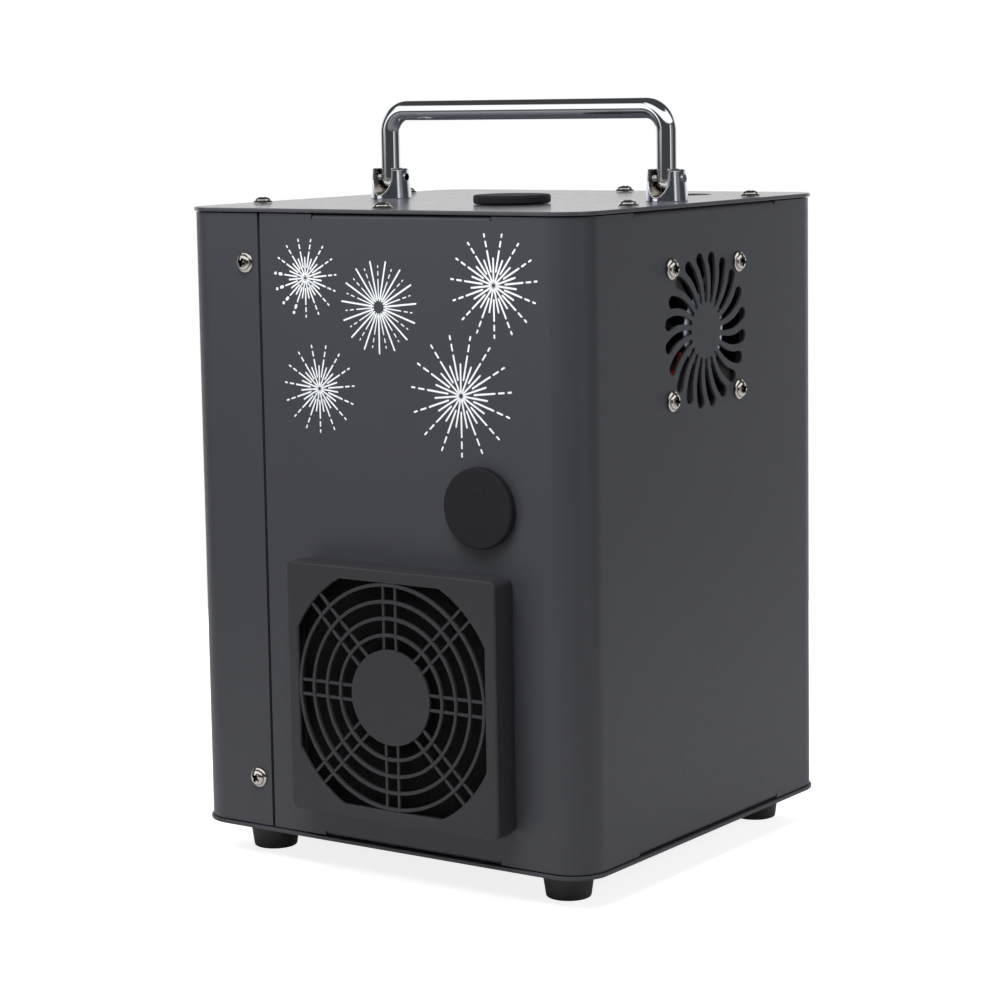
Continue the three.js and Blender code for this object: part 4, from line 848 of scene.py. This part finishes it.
def groove_edge(height, up):
    """The edge round the post's groove: under the bar's folded place, up both sides and round the top."""
    reach = POST_GROOVE + BEAD_INSET
    top = height - BEAD_INSET
    side = [(-reach, top + (up - top) * step / 6) for step in range(6)]
    below = []
    for x, drop in arc((0, 0), reach, 0.5, 1, 24):
        z = up + drop
        for _ in range(4):
            z = up + drop * groove_stretch(post_front(height, x, z))
        below.append((x, z))
    upright = [*side, *below, *[(-x, z) for x, z in reversed(side)]]
    face = [(x, BEAD_INSET - post_front(height, x, z), z) for x, z in upright]
    return [*face, *[(x, y, top) for x, y in arc((0, 0), reach, 0, 0.5, 24)], face[0]]


def post_mesh(height, up):
    """A post with a groove to its front and a shaft to its top, which meet at the pivot's height."""
    profile = fillet([
        (0, 0),
        (POST_BASE_RADIUS, 0),
        (POST_TOP_RADIUS, height - POST_CHAMFER),
        (POST_TOP_RADIUS - POST_CHAMFER, height),
        (0, height),
    ], POST_EDGE)
    outside = POST_BASE_RADIUS + CUT_BEYOND
    upright = Matrix.Translation((0, 0, up))
    nose = [*arc((0, 0), POST_GROOVE, -0.25, 0, 16), (POST_GROOVE, outside), (0, outside)]
    mouth = turned(lathe(nose), upright @ Matrix.Rotation(QUARTER, 4, "X"))
    for vertex in mouth.vertices:
        if vertex.co.z < up:
            vertex.co.z = up + (vertex.co.z - up) * groove_stretch(max(-vertex.co.y, 0))
    shaft = POST_GROOVE - SHAFT_INSET
    return carved(
        lathe(profile, sides=96),
        mouth,
        turned(lathe([(0, 0), (shaft, 0), (shaft, height), (0, height)]), upright),
        brick((-shaft, shaft), (-outside, 0), (up, height + CUT_BEYOND)),
    )


def build_post(side, pivot):
    node = f"handle_post_{side}"
    base = corners("top_plate")[1].z
    height = corners(node)[1].z - base
    up = pivot.z - base
    centre = Vector((middle(node).x, middle(node).y, base))
    matrix = seat("top", centre)
    post = post_mesh(height, up)
    inner = [
        face.index
        for face in post.polygons
        if math.hypot(*face.center[:2]) < post_radius(height, face.center.z) - INNER_DEPTH
        and INNER_MARGIN < face.center.z < height - INNER_MARGIN
    ]
    piece = place(f"{node}_fine", post, matrix, "case", "post_chrome", [node])
    paint_faces(piece, inner, "groove_steel")
    bead = tube(groove_edge(height, up), GROOVE_BEAD, 6)
    place(f"{node}_rim", bead, matrix, "case", "handle_chrome")
    low, high = -PIN_HEAD_DEPTH, PIN_HEAD_PROUD
    rim = [(0, low), (PIN_HEAD_RADIUS, low), (PIN_HEAD_RADIUS, high), (0, high)]
    head = lathe(fillet(rim, PIN_HEAD_EDGE), sides=32)
    for end, sign in (("outer", 1), ("inner", -1)):
        spot = centre + Vector((sign * PIN_REACH, 0, up))
        mesh = turned(head.copy(), Matrix.Rotation(sign * QUARTER, 4, "Y"))
        place(f"pin_head_{side}_{end}", mesh, seat("top", spot), "case", "pin_steel")


# Rubber pieces


def build_plug(node, wall, body):
    low, high = corners(node)
    radius = (high.x - low.x) / 2
    thickness = abs((high - low).dot(Vector(WALLS[wall][2]))) - PLUG_NECK_DEPTH
    rim = fillet([(PLUG_NECK, 0), (radius, 0), (radius, thickness), (0, thickness)], PLUG_EDGE, 6)
    mesh = lathe([(0, -PLUG_NECK_DEPTH), (PLUG_NECK, -PLUG_NECK_DEPTH), *rim], sides=96)
    matrix = seat(wall, behind_tip(node, wall, thickness))
    place(f"{node}_disc", mesh, matrix, body, "plug_rubber", [node])


def build_feet():
    profile = [
        (0, FOOT_RECESS_DEPTH),
        (FOOT_RECESS, FOOT_RECESS_DEPTH),
        (FOOT_RECESS, 0),
        (FOOT_BOTTOM, 0),
        (FOOT_TOP, FLOOR),
        (0, FLOOR),
    ]
    mesh = lathe(fillet(profile, FOOT_EDGE), sides=64)
    for index in range(1, 5):
        node = f"foot_{index}"
        spot = Vector((middle(node).x, middle(node).y, corners(node)[0].z))
        place(f"{node}_pad", mesh, seat("top", spot), "case", "foot_rubber", [node])


# What the vent shows


def build_fan_label():
    low, high = corners("exhaust_fan_frame")
    centre = Vector((high.x, (low.y + high.y) / 2, (low.z + high.z) / 2))
    matrix = seat("right", centre)
    place("fan_label", sheet([circle(LABEL_RADIUS)], 0, LABEL_THICKNESS), matrix, "case", "fan_label")
    start = polar(*WIRE_START)
    end = polar((high.y - low.y) / 2 - FAN_WALL, WIRE_END_TURN)
    bend = ((start[0] + end[0]) / 2, (start[1] + end[1]) / 2 - WIRE_SAG)
    path = [(x, y, -WIRE_RADIUS) for x, y in fillet([start, bend, end], WIRE_BEND, 8)]
    place("fan_wire", tube(path, WIRE_RADIUS, 6), matrix, "case", "wire_red")


# Prints


def capsule(angle, near, far, width, steps=6):
    """A dash that runs outwards between two radii and has round ends."""
    half = width / 2
    points = [
        *arc((far - half, 0), half, -0.25, 0.25, steps),
        *arc((near + half, 0), half, 0.25, 0.75, steps),
    ]
    c, s = math.cos(angle), math.sin(angle)
    return [(x * c - y * s, x * s + y * c) for x, y in points]


def burst(radius, kind):
    """The outlines of a firework's dashes, with long rays between short ones."""
    long_ray, short_ray = HOLLOW_DASHES if kind == "hollow" else PLAIN_DASHES
    width = RAY_WIDTH if radius > SMALL_BURST else RAY_WIDTH * SMALL_BURST_SHARE
    step = TURN / RAY_COUNT
    outlines = []
    for ray in range(RAY_COUNT):
        angle = ray * step - QUARTER
        heavy = kind == "thick" and ray in HEAVY_RAYS
        for count, (near, far, weight) in enumerate(long_ray):
            share = HEAVY_DASH if heavy and count else weight
            outlines.append(capsule(angle, near * radius, far * radius, width * share))
        for near, far, weight in short_ray:
            outlines.append(capsule(angle + step / 2, near * radius, far * radius, width * weight))
    return outlines


def build_prints():
    form = bmesh.new()
    for across, up, radius, kind in BURSTS:
        for outline in burst(radius, kind):
            prism(form, [(across + x, up + y) for x, y in outline], PRINT_BASE, PRINT_LIFT)
    place("front_print", as_mesh(form), seat("front", CASE_CORNER), "case", "print_white")


# Back panel


def build_buttons():
    for index in range(1, 5):
        node = f"menu_button_{index}"
        low, high = corners(node)
        depth = high.y - low.y
        profile = [
            (0, -depth),
            (BUTTON_RADIUS, -depth),
            (BUTTON_RADIUS, -BUTTON_EDGE),
            (BUTTON_RADIUS - BUTTON_EDGE, 0),
            (BUTTON_RADIUS - BUTTON_DISH_INSET, -BUTTON_DISH),
            (0, -BUTTON_DISH),
        ]
        matrix = seat("back", behind_tip(node, "back", 0))
        mesh = lathe(profile, sides=48)
        place(f"{node}_fine", mesh, matrix, f"button_{index}", "panel_plastic", [node])


def socket_body(pin_places, floor, plugs_in):
    """A data socket's body: a deep well for pins, or a face with a hole for each of them."""
    if plugs_in:
        inside = [(SOCKET_BODY, SOCKET_BODY_TOP), (SOCKET_CAVITY, SOCKET_BODY_TOP), (SOCKET_CAVITY, floor)]
    else:
        inside = [(SOCKET_BODY, floor)]
    body = lathe([(0, -SOCKET_DEPTH), (SOCKET_BODY, -SOCKET_DEPTH), *inside, (0, floor)], sides=64)
    if plugs_in:
        return body
    low, high = SOCKET_HOLE_SPAN
    pit = [(0, low), (SOCKET_HOLE, low), (SOCKET_HOLE, high), (0, high)]
    return carved(body, *[moved(lathe(pit, sides=24), x, y, 0) for x, y in pin_places])


def build_socket(node, plugs_in):
    spot = behind_tip(node, "back", SOCKET_THICKNESS)
    matrix = seat("back", spot)
    floor = SOCKET_THICKNESS - SOCKET_CAVITY_DEPTH if plugs_in else SOCKET_THICKNESS / 2
    pin_places = [polar(SOCKET_PIN_SPREAD, turns) for turns in SOCKET_PIN_TURNS]
    outline = rounded_box(SOCKET_WIDTH, SOCKET_HEIGHT, SOCKET_CORNER)
    flange = sheet([outline, circle(SOCKET_CAVITY)], SOCKET_BASE, SOCKET_THICKNESS, SOCKET_EDGE)
    mesh = merged([socket_body(pin_places, floor, plugs_in), flange])
    place(f"{node}_fine", mesh, matrix, "case", "panel_plastic", [node])
    if plugs_in:
        rim = [(0, 0), (SOCKET_PIN, 0), (SOCKET_PIN, SOCKET_PIN_LENGTH), (0, SOCKET_PIN_LENGTH)]
        pin = lathe(fillet(rim, SOCKET_PIN_EDGE), sides=24)
        pins = [moved(pin.copy(), x, y, floor) for x, y in pin_places]
        place(f"{node}_pins", merged(pins), matrix, "case", "contact_gold")
    x, y = SOCKET_WIDTH / 2 - SOCKET_SCREW_INSET, SOCKET_HEIGHT / 2 - SOCKET_SCREW_INSET
    head = lathe([(0, 0), *fillet(SOCKET_SCREW_DOME, SOCKET_SCREW_EDGE)], sides=32)
    heads = [moved(head.copy(), sign * x, -sign * y, SOCKET_THICKNESS) for sign in (1, -1)]
    place(f"{node}_screws", merged(heads), matrix, "case", "nickel")


# Studio


def build_floor():
    """A round floor that looks white, is dim in reflections, and keeps the machine's soft shadow."""
    material = bpy.data.materials.new("floor_white")
    material.use_nodes = True
    tree = Nodes(material.node_tree)
    material.node_tree.nodes.remove(material.node_tree.nodes["Principled BSDF"])
    matt = tree.add("ShaderNodeBsdfDiffuse", Color=(FLOOR_WHITE, FLOOR_WHITE, FLOOR_WHITE, 1))
    coordinates = tree.add("ShaderNodeTexCoord")
    distance = tree.add("ShaderNodeVectorMath", operation="LENGTH")
    tree.link(coordinates.outputs["Object"], distance.inputs["Vector"])
    spread = tree.remap(distance.outputs["Value"], *FLOOR_GLOW)
    ray = tree.add("ShaderNodeLightPath").outputs
    seen = tree.larger(ray["Is Camera Ray"], ray["Is Transmission Ray"])
    seen = tree.larger(seen, tree.product(ray["Is Glossy Ray"], FLOOR_SHINE))
    glow = tree.add("ShaderNodeEmission")
    tree.link(tree.product(seen, spread), glow.inputs["Strength"])
    both = tree.add("ShaderNodeAddShader")
    tree.link(matt.outputs["BSDF"], both.inputs[0])
    tree.link(glow.outputs["Emission"], both.inputs[1])
    tree.link(both.outputs["Shader"], material.node_tree.nodes["Material Output"].inputs["Surface"])
    disc = sheet([circle(FLOOR_RADIUS, 128)], -FLOOR_THICKNESS, 0)
    mesh = turned(disc, seat("top", (0, 0, -FLOOR_GAP)))
    mesh.materials.append(material)
    added("floor", mesh)


def build_world():
    """A white backdrop for the camera. Metal mirrors it behind the machine, and a dim studio elsewhere."""
    world = bpy.data.worlds.new("studio")
    bpy.context.scene.world = world
    world.use_nodes = True
    tree = Nodes(world.node_tree)
    background = world.node_tree.nodes["Background"]
    coordinates = tree.add("ShaderNodeTexCoord")
    split = tree.add("ShaderNodeSeparateXYZ")
    tree.link(coordinates.outputs["Generated"], split.inputs["Vector"])
    x, y, height = (split.outputs[axis] for axis in "XYZ")

    # Away from the photograph's camera, and to its right
    heading = math.radians(CAMERA_HEADING)
    away = tree.compute("ADD", tree.product(x, math.sin(heading)), tree.product(y, math.cos(heading)))
    aside = tree.compute("SUBTRACT", tree.product(x, math.cos(heading)), tree.product(y, math.sin(heading)))

    # The backdrop, a softbox overhead, a tall one at the left and a soft-edged strip at the right
    backdrop = tree.product(tree.step(away, *BACKDROP_AWAY), tree.band(height, *BACKDROP_HEIGHT))
    softbox = tree.product(tree.step(tree.minus(away), *SOFTBOX_NEAR), tree.band(height, *SOFTBOX_HEIGHT))
    softbox = tree.product(softbox, tree.step(x, *SOFTBOX_ACROSS))
    softbox = tree.product(softbox, SOFTBOX_STRENGTH)
    nearer = tree.step(tree.minus(away), *RIGHT_NEAR)
    left = tree.product(tree.band(x, *LEFT_ACROSS), tree.band(height, *LEFT_HEIGHT))
    left = tree.product(left, tree.step(tree.minus(y), *LEFT_FORWARD))
    left = tree.product(left, SOFTBOX_STRENGTH)
    core = tree.band(aside, *RIGHT_CORE)
    halo = tree.product(tree.band(aside, *RIGHT_HALO), HALO_SHADE)
    right = tree.product(tree.larger(core, halo), nearer)
    right = tree.product(right, tree.band(height, *RIGHT_HEIGHT))
    strips = tree.larger(left, right)
    low = tree.product(tree.step(tree.minus(height), *FLOOR_BELOW), FLOOR_SHADE)
    bright = tree.larger(tree.larger(backdrop, softbox), tree.larger(strips, low))
    studio = tree.larger(bright, STUDIO_SHADE)

    ray = tree.add("ShaderNodeLightPath").outputs
    glossy = tree.product(ray["Is Glossy Ray"], studio)
    seen = tree.larger(ray["Is Camera Ray"], ray["Is Transmission Ray"])
    other = tree.product(ray["Is Diffuse Ray"], FILL_SHADE)
    strength = tree.compute("ADD", tree.larger(seen, glossy), other)
    tree.link(strength, background.inputs["Strength"])
    background.inputs["Color"].default_value = (1, 1, 1, 1)


def build_lights():
    for name, spot, size, power in LAMPS:
        data = bpy.data.lights.new(name, "AREA")
        data.shape = "RECTANGLE"
        data.size, data.size_y = size
        data.energy = power
        light = added(name, data)
        light.location = spot
        light.rotation_euler = (Vector(LAMP_TARGET) - Vector(spot)).to_track_quat("-Z", "Y").to_euler()
        light.visible_camera = False
        light.visible_glossy = False


def build_camera():
    heading, pitch, roll = (math.radians(a) for a in (CAMERA_HEADING, CAMERA_PITCH, CAMERA_ROLL))
    reach = math.cos(pitch)
    forward = Vector((math.sin(heading) * reach, math.cos(heading) * reach, math.sin(pitch)))
    level = Vector((math.cos(heading), -math.sin(heading), 0))
    right = level * math.cos(roll) + level.cross(forward) * math.sin(roll)
    up = right.cross(forward)
    data = bpy.data.cameras.new("camera")
    data.sensor_width = SENSOR_WIDTH
    data.lens = FOCAL_PIXELS * SENSOR_WIDTH / IMAGE_PIXELS
    data.shift_x = 0.5 - CENTRE_PIXEL[0] / IMAGE_PIXELS
    data.shift_y = CENTRE_PIXEL[1] / IMAGE_PIXELS - 0.5
    camera = added("camera", data)
    turn = Matrix((right, up, -forward)).transposed().to_4x4()
    camera.matrix_world = Matrix.Translation((CASE_CORNER + Vector(CAMERA_CASE_PLACE)) * MM) @ turn
    bpy.context.scene.camera = camera


dress_cad_nodes()
build_plates()
build_screws()
build_guard()
build_handle()
build_plug("filler_cap", "top", "cap")
build_plug("service_plug", "front", "plug")
build_feet()
build_fan_label()
build_prints()
build_buttons()
build_socket("data_in_socket", True)
build_socket("data_out_socket", False)
build_floor()
build_world()
build_lights()
build_camera()
bpy.context.scene.view_settings.view_transform = "Standard"
